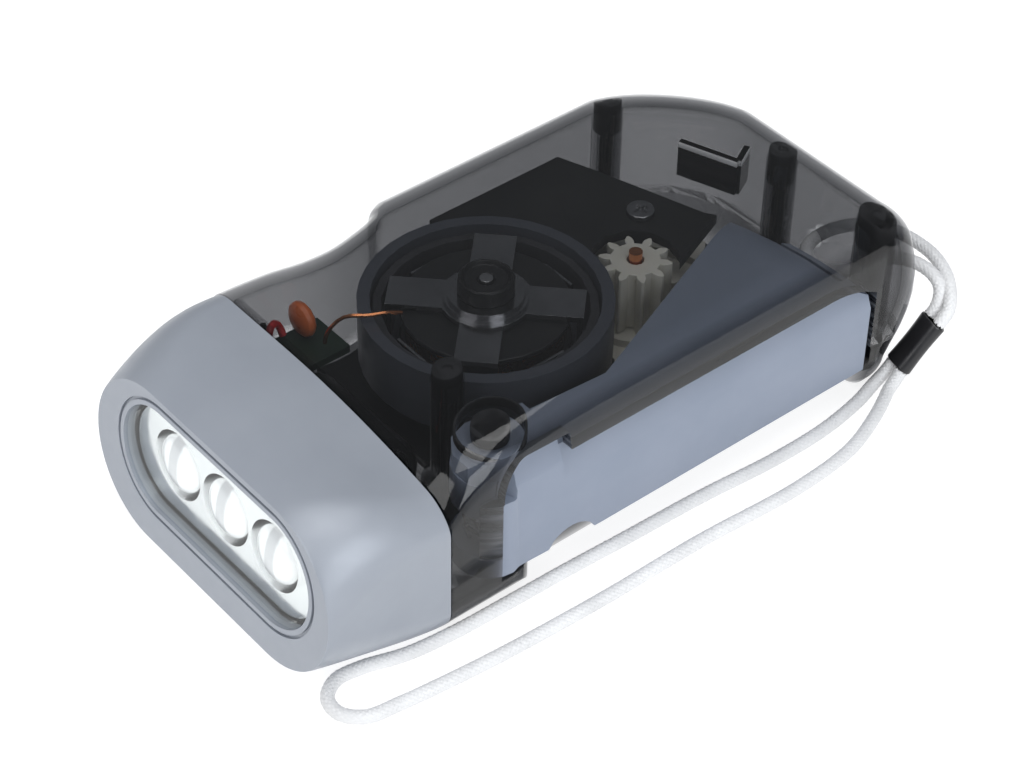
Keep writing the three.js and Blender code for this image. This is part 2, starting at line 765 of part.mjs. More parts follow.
const lensFront = headWall + fitGap;
const reflectorFront = lensFront + windowThickness + fitGap;
const boardFront = reflectorFront + reflectorDepth + fitGap + ledFlangeThickness;

function lensWindow() {
  const grow = 2 * windowRebate;
  const plate = opticsPrism(stadium(windowWidth + grow, windowHeight + grow), lensFront, lensFront + windowThickness);
  const dome = opticsPrism(stadium(windowWidth - grow, windowHeight - grow), lensFront - headWall / 2, lensFront + overrun / 2);
  return plate.add(dome);
}

function cupPlaces() {
  return [-1, 0, 1].map((side) => side * cupPitch);
}

function reflector() {
  let body = opticsPrism(stadium(windowWidth - reflectorRim, windowHeight - reflectorRim), reflectorFront,
    reflectorFront + reflectorDepth);
  body = body.add(opticsPrism(stadium(windowWidth + windowRebate, windowHeight + windowRebate), reflectorFront,
    reflectorFront + shellWall / 2));
  const steps = hollowSteps;
  const profile = [[0, -overrun], [cupRadius, -overrun]];
  for (let i = 0; i <= steps; i += 1) {
    const share = i / steps;
    const radius = cupThroatRadius + (cupRadius - cupThroatRadius) * Math.sqrt(1 - share);
    profile.push([radius, share * reflectorDepth]);
  }
  profile.push([cupThroatRadius, reflectorDepth + overrun], [0, reflectorDepth + overrun]);
  const cup = turned(profile, 2 * smallFacets).rotate([-90, 0, 0]).translate([0, reflectorFront, 0]);
  cupPlaces().forEach((x) => {
    body = body.subtract(cup.translate([x, 0, 0]));
  });
  return body;
}

function led() {
  const profile = [[0, 0], [ledFlangeRadius, 0], [ledFlangeRadius, ledFlangeThickness], [ledRadius, ledFlangeThickness]];
  for (let i = 0; i <= hollowSteps; i += 1) {
    const angle = i / hollowSteps * Math.PI / 2;
    profile.push([ledRadius * Math.cos(angle), ledLength - ledRadius + ledRadius * Math.sin(angle)]);
  }
  return turned(profile, smallFacets).rotate([90, 0, 0]);
}

function ledBoard() {
  return opticsPrism(stadium(windowWidth - windowRebate, windowHeight), 0, boardThickness);
}

// Gears

// Outline points of involute teeth; an inner ring's spaces are the same teeth made fuller
function toothOutline(module, teeth, addendum, dedendum, slack, firstTooth, lastTooth, phase) {
  const pitch = module * teeth / 2;
  const base = pitch * Math.cos(pressureAngle);
  const involute = (radius) => {
    const angle = Math.acos(Math.min(1, base / radius));
    return Math.tan(angle) - angle;
  };
  const halfAt = (radius) => (
    Math.PI / (2 * teeth) - slack / pitch + involute(pitch) - involute(Math.max(radius, base))
  );
  const low = pitch - dedendum * module;
  const high = pitch + addendum * module;
  const start = Math.max(low, base);
  const radii = low < start ? [low] : [];
  for (let i = 0; i <= flankSteps; i += 1) {
    radii.push(start + (high - start) * i / flankSteps);
  }
  const points = [];
  for (let tooth = firstTooth; tooth <= lastTooth; tooth += 1) {
    const middle = phase + 2 * Math.PI * tooth / teeth;
    radii.forEach((radius) => points.push(polar(radius, middle - halfAt(radius))));
    radii.slice().reverse().forEach((radius) => points.push(polar(radius, middle + halfAt(radius))));
  }
  return points;
}

function gear(module, teeth, phase, bottom, top, bore) {
  const outline = toothOutline(module, teeth, toothAddendumShare, toothDedendumShare, toothBacklash, 0, teeth - 1, phase);
  return prism(outline, bottom, top).subtract(rod(bore, bottom - overrun, top + overrun));
}

// Direction from the drive gear to the flywheel, and from the pivot to the drive pinion
const flywheelDirection = flywheelPlace.clone().sub(gearPlace).angle();
const pinionDirection = gearPlace.clone().sub(pivot).angle();

function driveGear() {
  const toothRoot = driveGearTeeth * flywheelModule / 2 - toothDedendumShare * flywheelModule;
  const rimInner = toothRoot - gearThickness;
  const web = tube(rimInner, pinionTip + overrun, gearThickness / 2, gearThickness + overrun);
  let wheel = gear(flywheelModule, driveGearTeeth, flywheelDirection, 0, gearThickness, axleRadius + pivotSlack);
  wheel = wheel.subtract(web);
  const windows = 5;
  const windowPlace = (rimInner + pinionTip + overrun) / 2;
  const windowRadius = (rimInner - pinionTip) / 2 - 2 * overrun;
  for (let i = 0; i < windows; i += 1) {
    wheel = wheel.subtract(rod(windowRadius, -overrun, gearThickness, polar(windowPlace, 2 * Math.PI * i / windows)));
  }
  return wheel;
}

function drivePinion() {
  return gear(rackModule, drivePinionTeeth, pinionDirection, 0, pinionTop - pinionBottom - fitGap, axleRadius + pivotSlack);
}

function flywheel() {
  const inner = cupRadiusOuter - cupWall;
  const bore = axleRadius + pivotSlack;
  const cup = turned([
    [bore, 0], [hubSleeveRadius, 0], [hubSleeveRadius, 0], [cupRadiusOuter - cupFloor, 0], [cupRadiusOuter, cupFloor],
    [cupRadiusOuter, cupHeight], [inner, cupHeight], [inner, cupFloor], [bore, cupFloor], [bore, 0],
  ], 2 * roundFacets - smallFacets);
  const phase = flywheelDirection + Math.PI + Math.PI / flywheelPinionTeeth;
  const drop = cupBottom - gearBottom;
  const pinion = gear(flywheelModule, flywheelPinionTeeth, phase, -drop, overrun / 2, bore);
  return cup.add(pinion);
}

function ringMagnet() {
  return tube(magnetOuter, magnetOuter - magnetThickness, cupFloor + fitGap, cupFloor + fitGap + magnetHeight);
}

// Claw plate: a disc with arms whose ends fold down between those of the other plate
function clawPlate(firstAngle, fold) {
  const bore = axleRadius + fitGap / 3;
  let plate = rod(clawHubRadius, 0, clawThickness, new THREE.Vector2(), roundFacets);
  for (let i = 0; i < clawCount; i += 1) {
    const turn = THREE.MathUtils.radToDeg(firstAngle) + 360 * i / clawCount;
    const arm = box(0, clawRadius, -clawWidth / 2, clawWidth / 2, 0, clawThickness);
    const claw = prismAlongY([
      [clawRadius - clawThickness, clawThickness], [clawRadius - clawThickness, -clawOverlap],
      [clawRadius - clawThickness / 2, -clawOverlap], [clawRadius, 0], [clawRadius - clawThickness / 3, clawThickness],
    ], -clawWidth / 2, clawWidth / 2);
    plate = plate.add(arm.add(claw).rotate([0, 0, turn]));
  }
  if (fold > 0) {
    const steps = turned([
      [0, 0], [clawHubRadius - clawStepHeight, 0], [clawHubRadius - clawStepHeight, clawThickness + clawStepHeight],
      [clawHubRadius - 2 * clawStepHeight, clawThickness + clawStepHeight],
      [clawHubRadius - 2 * clawStepHeight, clawThickness + 2 * clawStepHeight], [0, clawThickness + 2 * clawStepHeight],
    ]);
    plate = plate.add(steps);
  }
  return plate.subtract(rod(bore, -overrun, clawThickness + 4 * overrun));
}

const stackBottom = cupFloor + runningGap;
const coilBottom = stackBottom + clawThickness + fitGap;
const coilTop = cupHeight - clawThickness - fitGap;

function bobbin() {
  const bore = axleRadius + fitGap / 3;
  return turned([
    [bore, 0], [coilRadius, 0], [coilRadius, bobbinFlange], [coilCoreRadius, bobbinFlange],
    [coilCoreRadius, coilTop - coilBottom - bobbinFlange], [coilRadius, coilTop - coilBottom - bobbinFlange],
    [coilRadius, coilTop - coilBottom], [bore, coilTop - coilBottom], [bore, 0],
  ], 2 * smallFacets);
}

// Fine wire, packed close enough to be one plain body
function coil() {
  const bottom = bobbinFlange + fitGap;
  const height = coilTop - coilBottom - 2 * bottom;
  const outer = coilRadius - bobbinFlange;
  return tube(outer, coilCoreRadius + fitGap, bottom, bottom + height);
}

function axleBush() {
  const bore = axleRadius + fitGap / 3;
  return turned([
    [bore, 0], [axleBushRadius, 0], [axleBushRadius, axleBushHeight - fitGap], [axleBushRadius - fitGap, axleBushHeight],
    [axleBushRadius - 2 * fitGap, axleBushHeight], [axleBushRadius - 3 * fitGap, axleBushHeight - 2 * fitGap],
    [bore + fitGap, axleBushHeight - 2 * fitGap], [bore, axleBushHeight - 3 * fitGap], [bore, 0],
  ], smallFacets);
}

const plateBottom = cupTop - clawThickness;
const bushBottom = cupTop + 2 * clawStepHeight;
const flywheelAxleTop = bushBottom + axleBushHeight - fitGap;

// Lever, drawn about its own pivot: X outward, Y to the rear

const leverFaceX = pivotInset;
const leverRear = Math.sqrt(leverReach * leverReach - leverFaceX * leverFaceX);

function leverPlan() {
  const rear = arc(new THREE.Vector2(), leverReach, Math.atan2(leverRear, leverFaceX), Math.PI / 2 + leverSpread, 2 * arcSteps);
  return [
    polar(hubRadius, -Math.PI / 2), ...arc(new THREE.Vector2(), hubRadius, -Math.PI / 2, 0).slice(1),
    new THREE.Vector2(leverFaceX - leverFrontInset, hubRadius / 4), new THREE.Vector2(leverFaceX, leverFacetStation),
    ...rear,
    new THREE.Vector2(-leverKneeInset, leverKneeStation),
    ...arc(new THREE.Vector2(), hubRadius, Math.PI, 3 * Math.PI / 2).slice(0, -1),
  ];
}

// The outer face's slope above the bevel line, as a cutting body
function leverBevel(start, height, top, front, rear) {
  const slope = leverBevelInset / (leverTop - leverBevelHeight);
  const inset = slope * (top - height);
  return prismAlongY([
    [start, height], [start + hubRadius, height], [start + hubRadius, top + overrun],
    [start - inset - slope * overrun, top + overrun],
  ], front, rear);
}

function leverHollow() {
  const front = hubRadius + leverWall;
  const inner = leverFaceX - leverWall;
  const slope = leverBevelInset / (leverTop - leverBevelHeight);
  const roof = leverTop - leverSkin;
  const profile = [
    [-leverReach, flangeBottom + flangeThickness], [inner - leverFrontInset, flangeBottom + flangeThickness],
    [inner - leverFrontInset, leverBevelHeight - leverSkin],
    [inner - leverFrontInset - slope * (roof - leverBevelHeight + leverSkin), roof], [-leverReach, roof],
  ];
  return prismAlongY(profile, front, leverReach)
    .intersect(rod(leverReach - leverWall, -far, far, new THREE.Vector2(), 3 * roundFacets)
      .add(box(-far, -2 * leverFaceX, leverKneeStation, far, -far, far)));
}

// The skin's rear end is rounded down like the lip of the mouth above it
function leverRearRound() {
  const drop = mouthLip - mouthRearLip;
  const profile = [[leverReach + overrun, leverTop + overrun], [leverReach - mouthRearSweep, leverTop + overrun]];
  for (let i = 0; i <= arcSteps; i += 1) {
    const share = i / arcSteps;
    profile.push([leverReach - mouthRearSweep * (1 - share), leverTop - drop * share * share]);
  }
  profile.push([leverReach + overrun, leverTop - drop], profile[0]);
  return turned(profile, 3 * roundFacets);
}

// Below the skin only a flange, the hub and the lock's lug are left
function leverUnderCut() {
  const flangeEdge = leverFaceX - leverFlangeWidth;
  const lugY = lockY - pivot.y + lockFingerLength / 2 + lockTravel / 3;
  const flange = box(-far, flangeEdge, hubRadius, far, flangeBottom - overrun, flangeBottom + flangeThickness + overrun);
  const hook = lockX - pivot.x - lockFingerWidth / 2 - lugGap;
  const lug = box(hook - lugHook, flangeEdge + overrun, lugY, lugY + lugLength, flangeBottom - 2 * overrun,
    flangeBottom + lugThickness);
  const pocket = box(hook, flangeEdge, lugY - overrun, lugY + lugLength - lugHook, -far, far);
  return flange.subtract(lug.subtract(pocket));
}

function leverFrontBlock() {
  const plan = [
    ...arc(new THREE.Vector2(), hubRadius, Math.PI, 2 * Math.PI),
    new THREE.Vector2(leverFaceX - leverFrontInset, hubRadius / 4),
    new THREE.Vector2(leverFaceX - leverFrontInset / 2, leverFrontLength),
    new THREE.Vector2(-leverKneeInset, leverFrontLength),
  ];
  return prism(plan, leverTop - overrun, leverFrontTop)
    .subtract(leverBevel(leverFaceX, leverFrontBevelHeight, leverFrontTop, -hubRadius, leverFrontLength + overrun));
}

// Where the block passes the shell's wall, its front end follows the edge of the mouth, also as it swings
function leverFrontRound() {
  const edge = mouthFrontEdge(fitGap);
  const start = edge[0];
  const end = edge[edge.length - 1];
  const profile = [
    [-2 * hubRadius, start[1]], ...edge, [end[0], leverFrontTop + overrun], [-2 * hubRadius, leverFrontTop + overrun],
  ];
  const edgeCut = prismAlongX(profile, leverFaceX - leverWall - leverFrontInset, far);
  const travel = THREE.MathUtils.radToDeg(leverTravel);
  const low = edgeCut.intersect(box(-far, far, -far, far, 0, leverTop + fitGap));
  return edgeCut.add(edgeCut.rotate([0, 0, travel / 2])).add(low.rotate([0, 0, travel]));
}

function leverNotch() {
  const points = [];
  for (let i = 0; i <= 2 * arcSteps; i += 1) {
    const share = i / (2 * arcSteps);
    const rise = Math.sin(Math.PI * share) ** 0.6;
    points.push([leverNotchStart + leverNotchLength * share, flangeBottom + leverNotchDepth * rise]);
  }
  points.push([leverNotchStart + leverNotchLength, flangeBottom - overrun], [leverNotchStart, flangeBottom - overrun]);
  return prismAlongX(points, leverFaceX - 2 * leverWall, leverFaceX + overrun);
}

function springGroove() {
  const groove = tube(hubRadius + overrun, hubNeckRadius, springGrooveBottom, springGrooveTop);
  const wall = springCoilRadius + springWireRadius + fitGap;
  return groove.intersect(box(-far, wall, -far, far, -far, far));
}

function lever() {
  let body = prism(leverPlan(), flangeBottom, leverTop);
  body = body.subtract(leverBevel(leverFaceX, leverBevelHeight, leverTop, leverFrontLength, far));
  body = body.subtract(leverBevel(leverFaceX, leverFrontBevelHeight, leverTop, -far, leverFrontLength));
  body = body.subtract(leverHollow()).subtract(leverUnderCut()).subtract(leverRearRound());
  body = body.add(leverFrontBlock()).subtract(leverFrontRound()).subtract(leverNotch()).subtract(springGroove());
  body = body.add(rod(hubCollarRadius, leverTop, hubCollarTop, new THREE.Vector2(), roundFacets));
  return body.subtract(rod(pivotPinRadius + pivotSlack, -far, far));
}

// Toothed sector on the lever, with the tab that fixes it under the lever's skin
function leverRack() {
  const phase = pinionDirection;
  const first = -4;
  const last = Math.ceil(leverTravel / (2 * Math.PI / rackTeeth)) + 1;
  const teeth = toothOutline(rackModule, rackTeeth, toothDedendumShare, toothAddendumShare, -toothBacklash, first, last, phase);
  const start = phase + 2 * Math.PI * (first - 1) / rackTeeth;
  const end = phase + 2 * Math.PI * (last + 0.5) / rackTeeth;
  const low = rackRadius - toothAddendumShare * rackModule;
  const tabStart = phase + 2 * Math.PI * (first - 3) / rackTeeth;
  const tabEnd = phase + 2 * Math.PI * (first - 0.5) / rackTeeth;
  const outline = [
    polar(low, tabStart), polar(low, start), ...teeth, polar(low, end),
    ...arc(new THREE.Vector2(), rackOuter, end, tabStart, 2 * arcSteps),
  ];
  const tab = [
    ...arc(new THREE.Vector2(), low, tabStart, tabEnd, 2), ...arc(new THREE.Vector2(), rackOuter, tabEnd, tabStart, 2),
  ];
  return prism(outline, rackBottom, rackTop).add(prism(tab, rackTop - overrun, leverTop - leverSkin - fitGap));
}

// Torsion spring: coils round the hub's neck, with a leg at its top end
function springPoints() {
  const points = [];
  const stepsPerTurn = 8;
  const steps = springTurns * stepsPerTurn;
  const bottom = springGrooveBottom + springWireRadius + fitGap;
  const rise = springGrooveTop - springGrooveBottom - 2 * springWireRadius - 2 * fitGap;
  for (let i = 0; i <= steps; i += 1) {
    const place = polar(springCoilRadius, -Math.PI / 2 - 2 * Math.PI * i / stepsPerTurn);
    points.push([place.x, place.y, bottom + rise * i / steps]);
  }
  const end = points[points.length - 1];
  points.push([end[0] - springLegLength, end[1], end[2]]);
  return points;
}

// Least space between the turns, over points that lie more than half a turn apart
function springGap() {
  const points = springPoints().slice(0, -1).map((p) => new THREE.Vector3(...p));
  let least = Infinity;
  points.forEach((p, i) => {
    points.slice(i + 5).forEach((q) => {
      least = Math.min(least, p.distanceTo(q) - 2 * springWireRadius);
    });
  });
  return least;
}

function torsionSpring() {
  return tubeAlong(springPoints(), springWireRadius, (springTurns + 1 / 2) * 8, 5);
}

// Chassis and cover

function chassis() {
  const floor = prism(bodyOutline().map((p) => {
    const shrink = shellWall + runningGap;
    return new THREE.Vector2(p.x + p.inX * shrink, p.y + p.inY * shrink);
  }), chassisBottom, chassisTop);
  const front = frontY + packStation + cellRadius + sleeveThickness + 2 * overrun;
  const rear = bosses[1].y - screwHeadRadius - screwClearance - shellWall - fitGap;
  const right = halfWidth - leverWall - leverFrontInset - 2 * runningGap;
  let plate = floor.intersect(box(-far, right, front, far, -far, far))
    .intersect(box(-far, far, -far, rear, -far, far));
  const sweep = rod(leverReach - leverWall - runningGap, -far, far, pivot, 3 * roundFacets);
  plate = plate.subtract(box(pivot.x - 2 * leverFaceX - 2 * runningGap, far, -far, far, -far, far).subtract(sweep));
  plate = plate.subtract(box(pivot.x - hubRadius - 2 * runningGap, far, -far,
    pivot.y + hubRadius + leverWall + 3 * runningGap, -far, far));
  bosses.forEach((boss) => {
    plate = plate.subtract(rod(screwHeadRadius + screwClearance + shellWall, -far, far, new THREE.Vector2(boss.x, boss.y)));
  });
  feetPlaces().forEach((place) => {
    plate = plate.add(rod(chassisPostRadius, shellWall, chassisTop, place));
  });
  coverPosts().forEach((place) => {
    plate = plate.add(rod(chassisPostRadius, chassisBottom, coverHeight, place));
  });
  return plate;
}

function feetPlaces() {
  const left = -halfWidth + bottomFillet + chassisPostRadius + fitGap;
  const right = recessX - shellWall - 3 * chassisPostRadius;
  return [
    new THREE.Vector2(left, flywheelPlace.y + cupRadiusOuter / 2), new THREE.Vector2(right, flywheelPlace.y),
    new THREE.Vector2(left + chassisPostRadius, gearPlace.y + gearDistance / 6),
    new THREE.Vector2(right - 3 * chassisPostRadius, gearPlace.y + gearDistance / 3),
  ];
}

// The cover stands on two posts, clear of the drive gear, the flywheel and the rack
function coverPosts() {
  const gearTip = (driveGearTeeth / 2 + toothAddendumShare) * flywheelModule;
  const past = runningGap + chassisPostRadius;
  return [
    polar(gearTip + past, Math.PI - coverPostBearing).add(gearPlace),
    polar(cupRadiusOuter + past, Math.PI - 2 * coverPostBearing).add(flywheelPlace),
  ];
}

function coverScrewPlace() {
  return polar(rackOuter + runningGap + fitGap + chassisPostRadius, Math.PI / 2 + coverScrewBearing).add(pivot);
}

// The lever skin's left edge, which the cover stays clear of
function leverEdge(stationFromPivot, gap) {
  const corner = polar(leverReach, Math.PI / 2 + leverSpread);
  const share = (stationFromPivot - leverKneeStation) / (corner.y - leverKneeStation);
  const x = -leverKneeInset + (corner.x + leverKneeInset) * share;
  return new THREE.Vector2(x - gap, stationFromPivot).add(pivot);
}

function gearCover() {
  const left = -halfWidth + shellWall + runningGap;
  const rearLeft = gearPlace.y + pinionTip + 3.5 * overrun;
  const edgeGap = 3 * runningGap;
  const plan = [
    new THREE.Vector2(left, flywheelPlace.y + cupRadiusOuter / 3),
    new THREE.Vector2(gearPlace.x - pinionTip, gearPlace.y - pinionTip),
    gearPlace.clone(),
    leverEdge(gearPlace.y + pinionTip / 2 - pivot.y, edgeGap),
    leverEdge(gearPlace.y + 3 * pinionTip - pivot.y, edgeGap),
    new THREE.Vector2(gearPlace.x - pinionTip / 3, gearPlace.y + 2.8 * pinionTip),
    new THREE.Vector2(left + pinionTip, rearLeft),
    new THREE.Vector2(left, rearLeft - 2 * overrun),
  ];
  let plate = prism(plan, coverHeight, coverTop);
  plate = plate.subtract(rod(cupRadiusOuter + 2 * runningGap, -far, far, flywheelPlace, 2 * roundFacets));
  plate = plate.subtract(rod(pinionTip + 2 * runningGap, -far, far, gearPlace));
  plate = plate.add(rod(chassisPostRadius, rackBottom, coverTop, coverScrewPlace()));
  return plate.subtract(rod(screwRadius + fitGap / 2, rackTop, coverTop + overrun, coverScrewPlace()));
}

// Small parts

function screw(headRadius, headHeight, length) {
  const slot = headRadius / 4;
  const head = rod(headRadius, 0, headHeight);
  const cross = box(-headRadius / 2, headRadius / 2, -slot / 2, slot / 2, -overrun, headHeight / 2);
  return head.add(rod(screwRadius, headHeight / 2, length))
    .subtract(cross).subtract(cross.rotate([0, 0, 90]));
}

function switchKnob() {
  const depth = knobProud + shellWall + fitGap;
  let knob = box(-knobProud, depth - knobProud, -knobLength / 2, knobLength / 2, -knobHeight / 2, knobHeight / 2);
  for (let i = 0; i < knobRidges; i += 1) {
    const y = ((i + 1) / (knobRidges + 1) - 1 / 2) * knobLength;
    knob = knob.subtract(box(-knobProud - overrun, -knobProud + knobRidge, y - knobRidge / 2, y + knobRidge / 2,
      -knobHeight, knobHeight));
  }
  return knob;
}

function switchBody() {
  const back = shellWall + 3 * fitGap;
  const body = box(back, back + switchBodyWidth, -switchBodyLength / 2, switchBodyLength / 2,
    -switchBodyHeight / 2, switchBodyHeight / 2);
  const pins = [-1, 0, 1].map((side) => box(back + switchBodyWidth - overrun, back + switchBodyWidth + overrun,
    side * switchBodyLength / 3 - knobRidge, side * switchBodyLength / 3 + knobRidge, -knobRidge / 2, knobRidge / 2));
  return pins.reduce((sum, pin) => sum.add(pin), body);
}

function lockSlider() {
  const padBottom = lockPadRecess;
  const padTop = padBottom + lockPadThickness;
  const plateBottom = shellWall + fitGap;
  const plateTop = plateBottom + lockPlateThickness;
  const fingerTop = flangeBottom + flangeThickness;
  let slider = box(-lockPadWidth / 2, lockPadWidth / 2, -lockPadLength / 2, lockPadLength / 2, padBottom, padTop);
  for (let i = -1; i <= 1; i += 1) {
    slider = slider.subtract(box(-lockPadWidth / 2 + overrun, lockPadWidth / 2 - overrun,
      i * lockPadLength / 4 - knobRidge / 2, i * lockPadLength / 4 + knobRidge / 2, 0, padBottom + knobRidge));
  }
  slider = slider.add(box(-lockNeckWidth / 2, lockNeckWidth / 2, -lockNeckLength / 2, lockNeckLength / 2,
    padTop - overrun / 4, plateBottom + overrun / 4));
  const plateHalf = lockNeckWidth / 2 + shellWall / 2;
  slider = slider.add(box(-plateHalf, plateHalf, -lockNeckLength, lockNeckLength, plateBottom, plateTop));
  return slider.add(box(-lockFingerWidth / 2, lockFingerWidth / 2, -lockFingerLength / 2, lockFingerLength / 2,
    plateTop - overrun / 4, fingerTop));
}

function cell() {
  const half = cellThickness / 2 - fitGap / 2;
  return turned([
    [0, -half], [cellRadius - 3 * cellCrimp, -half], [cellRadius - 2 * cellCrimp, -half + cellCrimp],
    [cellRadius, -half + cellCrimp], [cellRadius, half - cellCrimp], [cellRadius - cellCrimp, half], [0, half],
  ]).rotate([0, 90, 0]);
}

function packSleeve() {
  const half = cellThickness * cellCount / 2;
  const outer = cellRadius + sleeveThickness + fitGap / 2;
  const inner = cellRadius + fitGap / 2;
  const lip = cellRadius - 2 * cellCrimp;
  return turned([
    [inner, -half], [lip, -half], [lip, -half - sleeveThickness], [outer - cellCrimp, -half - sleeveThickness],
    [outer, -half], [outer, half], [outer - cellCrimp, half + sleeveThickness], [lip, half + sleeveThickness],
    [lip, half], [inner, half], [inner, -half],
  ]).rotate([0, 90, 0]);
}

function capacitor() {
  const half = capacitorThickness / 2;
  const profile = [[0, -half]];
  for (let i = 1; i < arcSteps + 1; i += 1) {
    const angle = -Math.PI / 2 + i / (arcSteps + 1) * Math.PI;
    profile.push([capacitorRadius * Math.cos(angle) ** 0.5, half * Math.sin(angle)]);
  }
  profile.push([0, half]);
  return turned(profile, smallFacets).rotate([90, 0, 0]);
}

// Wrist strap: hand-placed points of the cord, from the sleeve's low end out and back to it
const sleeveTop = [27.9, 55.1, 10];
const sleeveLow = [26.6, 50.2, 3.4];
const strapLoopPoints = [
  [25.44, 50.31, 3.16], [25.35, 49.58, 2.32], [25.35, 48.63, 1.66], [25.4, 47.55, 1.24], [25.7, 46.2, 1.1],
  [26.9, 42, 1.1], [28.1, 34, 1.1], [28.2, 24, 1.1], [27.3, 11.3, 1.1], [26.8, -3.1, 1.1], [26.4, -13, 1.1],
  [26.2, -22, 1.1], [25.9, -31, 1.1], [25, -38.5, 1.1], [23.2, -44.5, 1.1], [22.9, -48.3, 1.1], [24.8, -51, 1.1],
  [27.8, -51.3, 1.1], [30.3, -49, 1.1], [31.2, -44.5, 1.1], [31.9, -39, 1.1], [32.8, -29, 1.1], [33.5, -12.5, 1.1],
  [33.6, 5.4, 1.1], [34.4, 22.8, 1.1], [33.4, 34, 1.1], [31, 41, 1.1], [28.8, 45.6, 1.1], [28.1, 46.95, 1.24],
  [27.8, 48.05, 1.66], [27.65, 49, 2.32], [27.66, 49.73, 3.16],
];
const strapEyePoints = [
  [26.84, 55.57, 10.24], [27, 56.25, 11.2], [26.8, 57, 12.6], [26, 57.6, 14.1], [24.4, 57.6, 15.2], [22.2, 57.2, 15.7],
  [20, 56.5, 15.6], [18.2, 55.4, 15.3], [17, 53.9, 15.05], [16.6, 52.2, 15], [16.5, 50.2, 15], [15.9, 48.2, 15],
  [14.4, 46.6, 15], [12.2, 46, 15], [10, 46.6, 15], [8.5, 48.2, 15], [7.9, 50.2, 15], [7.8, 52.2, 15],
  [8.2, 54.3, 15.1], [9.4, 56.6, 15.3], [11.5, 58.6, 15.6], [14.8, 59.8, 15.9], [18.5, 60.2, 16.1],
  [22.5, 60, 15.9], [25.8, 59.2, 14.9], [28, 57.9, 13.4], [29.1, 56.6, 12], [29.25, 55.7, 11.2], [29.06, 54.99, 10.24],
];

function strapSleeve() {
  const top = new THREE.Vector3(...sleeveTop);
  const low = new THREE.Vector3(...sleeveLow);
  const axis = top.clone().sub(low);
  const length = axis.length();
  axis.normalize();
  const across = new THREE.Vector3(axis.y, -axis.x, 0).normalize();
  const face = new THREE.Vector3().crossVectors(axis, across);
  const outline = stadium(strapSleeveWidth, strapSleeveThickness);
  const body = prism(outline, 0, length);
  const frame = new THREE.Matrix4().makeBasis(across, face, axis).setPosition(low);
  return placed(body, frame);
}

// Wire routes, by hand
const redWirePoints = [
  [-12.9, -31.2, 13], [-14.6, -31, 14.5], [-16.5, -30, 17.5], [-18.5, -28, 20.3], [-19.8, -26.4, 20.9],
  [-20.1, -25.2, 20], [-19.4, -25, 18.5],
];
const blackWirePoints = [
  [5.6, -31.4, 8], [7.2, -31.7, 8], [9, -33, 8.5], [9.5, -34.8, 9.6], [9.5, -36.2, 10.8],
];
const headWirePoints = [
  [5.6, -28, 12.5], [7.2, -27.7, 13.2], [9.5, -27.4, 15.6], [11.7, -28.4, 17.2], [12.6, -31, 17.4], [12.8, -34.3, 16.8],
];
const coilLeadPoints = [
  [-7.4, -13.6, 24.5], [-8.1, -15.6, 25.1], [-9.2, -17.9, 25.1], [-11.2, -20.2, 24.8], [-12.6, -21.3, 23],
  [-13.5, -21.9, 20.9], [-13.7, -22.1, 19.4],
];

// Materials

function plastic(color, roughness, extra = {}) {
  return new THREE.MeshStandardMaterial({ color, roughness, metalness: 0, ...extra });
}

function metal(color, roughness) {
  return new THREE.MeshStandardMaterial({ color, roughness, metalness: 1 });
}

const smoke = plastic(0x4a4d52, 0.15, { transparent: true, opacity: 0.45 });
const silverGrey = plastic(0x9ca4ad, 0.4);
const leverGrey = plastic(0x929db3, 0.4);
const black = plastic(0x17181a, 0.45);
const cream = plastic(0xd9d6c8, 0.5);
const clear = plastic(0xf2f6f8, 0.05, { transparent: true, opacity: 0.3 });
const mirror = metal(0xdfe2e4, 0.08);
const steel = metal(0xa8abb0, 0.3);
const darkSteel = metal(0x4b4d52, 0.35);
const ferrite = plastic(0x2d2e33, 0.7);
const copper = metal(0xc06a3a, 0.3);
const boardGreen = plastic(0x24523a, 0.5);
const orange = plastic(0xc4551f, 0.45);
const red = plastic(0xb01e22, 0.5);
const braid = plastic(0xececea, 0.8);
const white = plastic(0xf4f4f0, 0.3);

// The torch, as a scene

const torch = new THREE.Group();

function add(parent, name, manifold, material, x = 0, y = 0, z = 0) {
  const mesh = new THREE.Mesh(geometryOf(manifold), material);
  mesh.name = name;
  mesh.position.set(x, y, z);
  parent.add(mesh);
  return mesh;
}

function buildBody() {
  add(torch, 'top_shell', topShell(), smoke);
  add(torch, 'bottom_shell', bottomShell(), smoke);
  bosses.forEach((boss) => {
    add(torch, `shell_screw_${boss.name}`, screw(screwHeadRadius, screwHeadHeight, screwReach - screwRecess), black,
      boss.x, boss.y, screwRecess);
  });
}

function buildHead() {
  add(torch, 'head_cap', headCap(), silverGrey);
  const optics = new THREE.Group();
  optics.position.copy(opticsPlace);
  optics.rotation.x = -headLean;
  torch.add(optics);
  add(optics, 'lens_window', lensWindow(), clear);
  add(optics, 'reflector', reflector(), mirror);
  ['right', 'middle', 'left'].forEach((side, i) => {
    add(optics, `led_${side}`, led(), white, (1 - i) * cupPitch, boardFront - fitGap);
  });
  add(optics, 'led_board', ledBoard(), boardGreen, 0, boardFront);
}

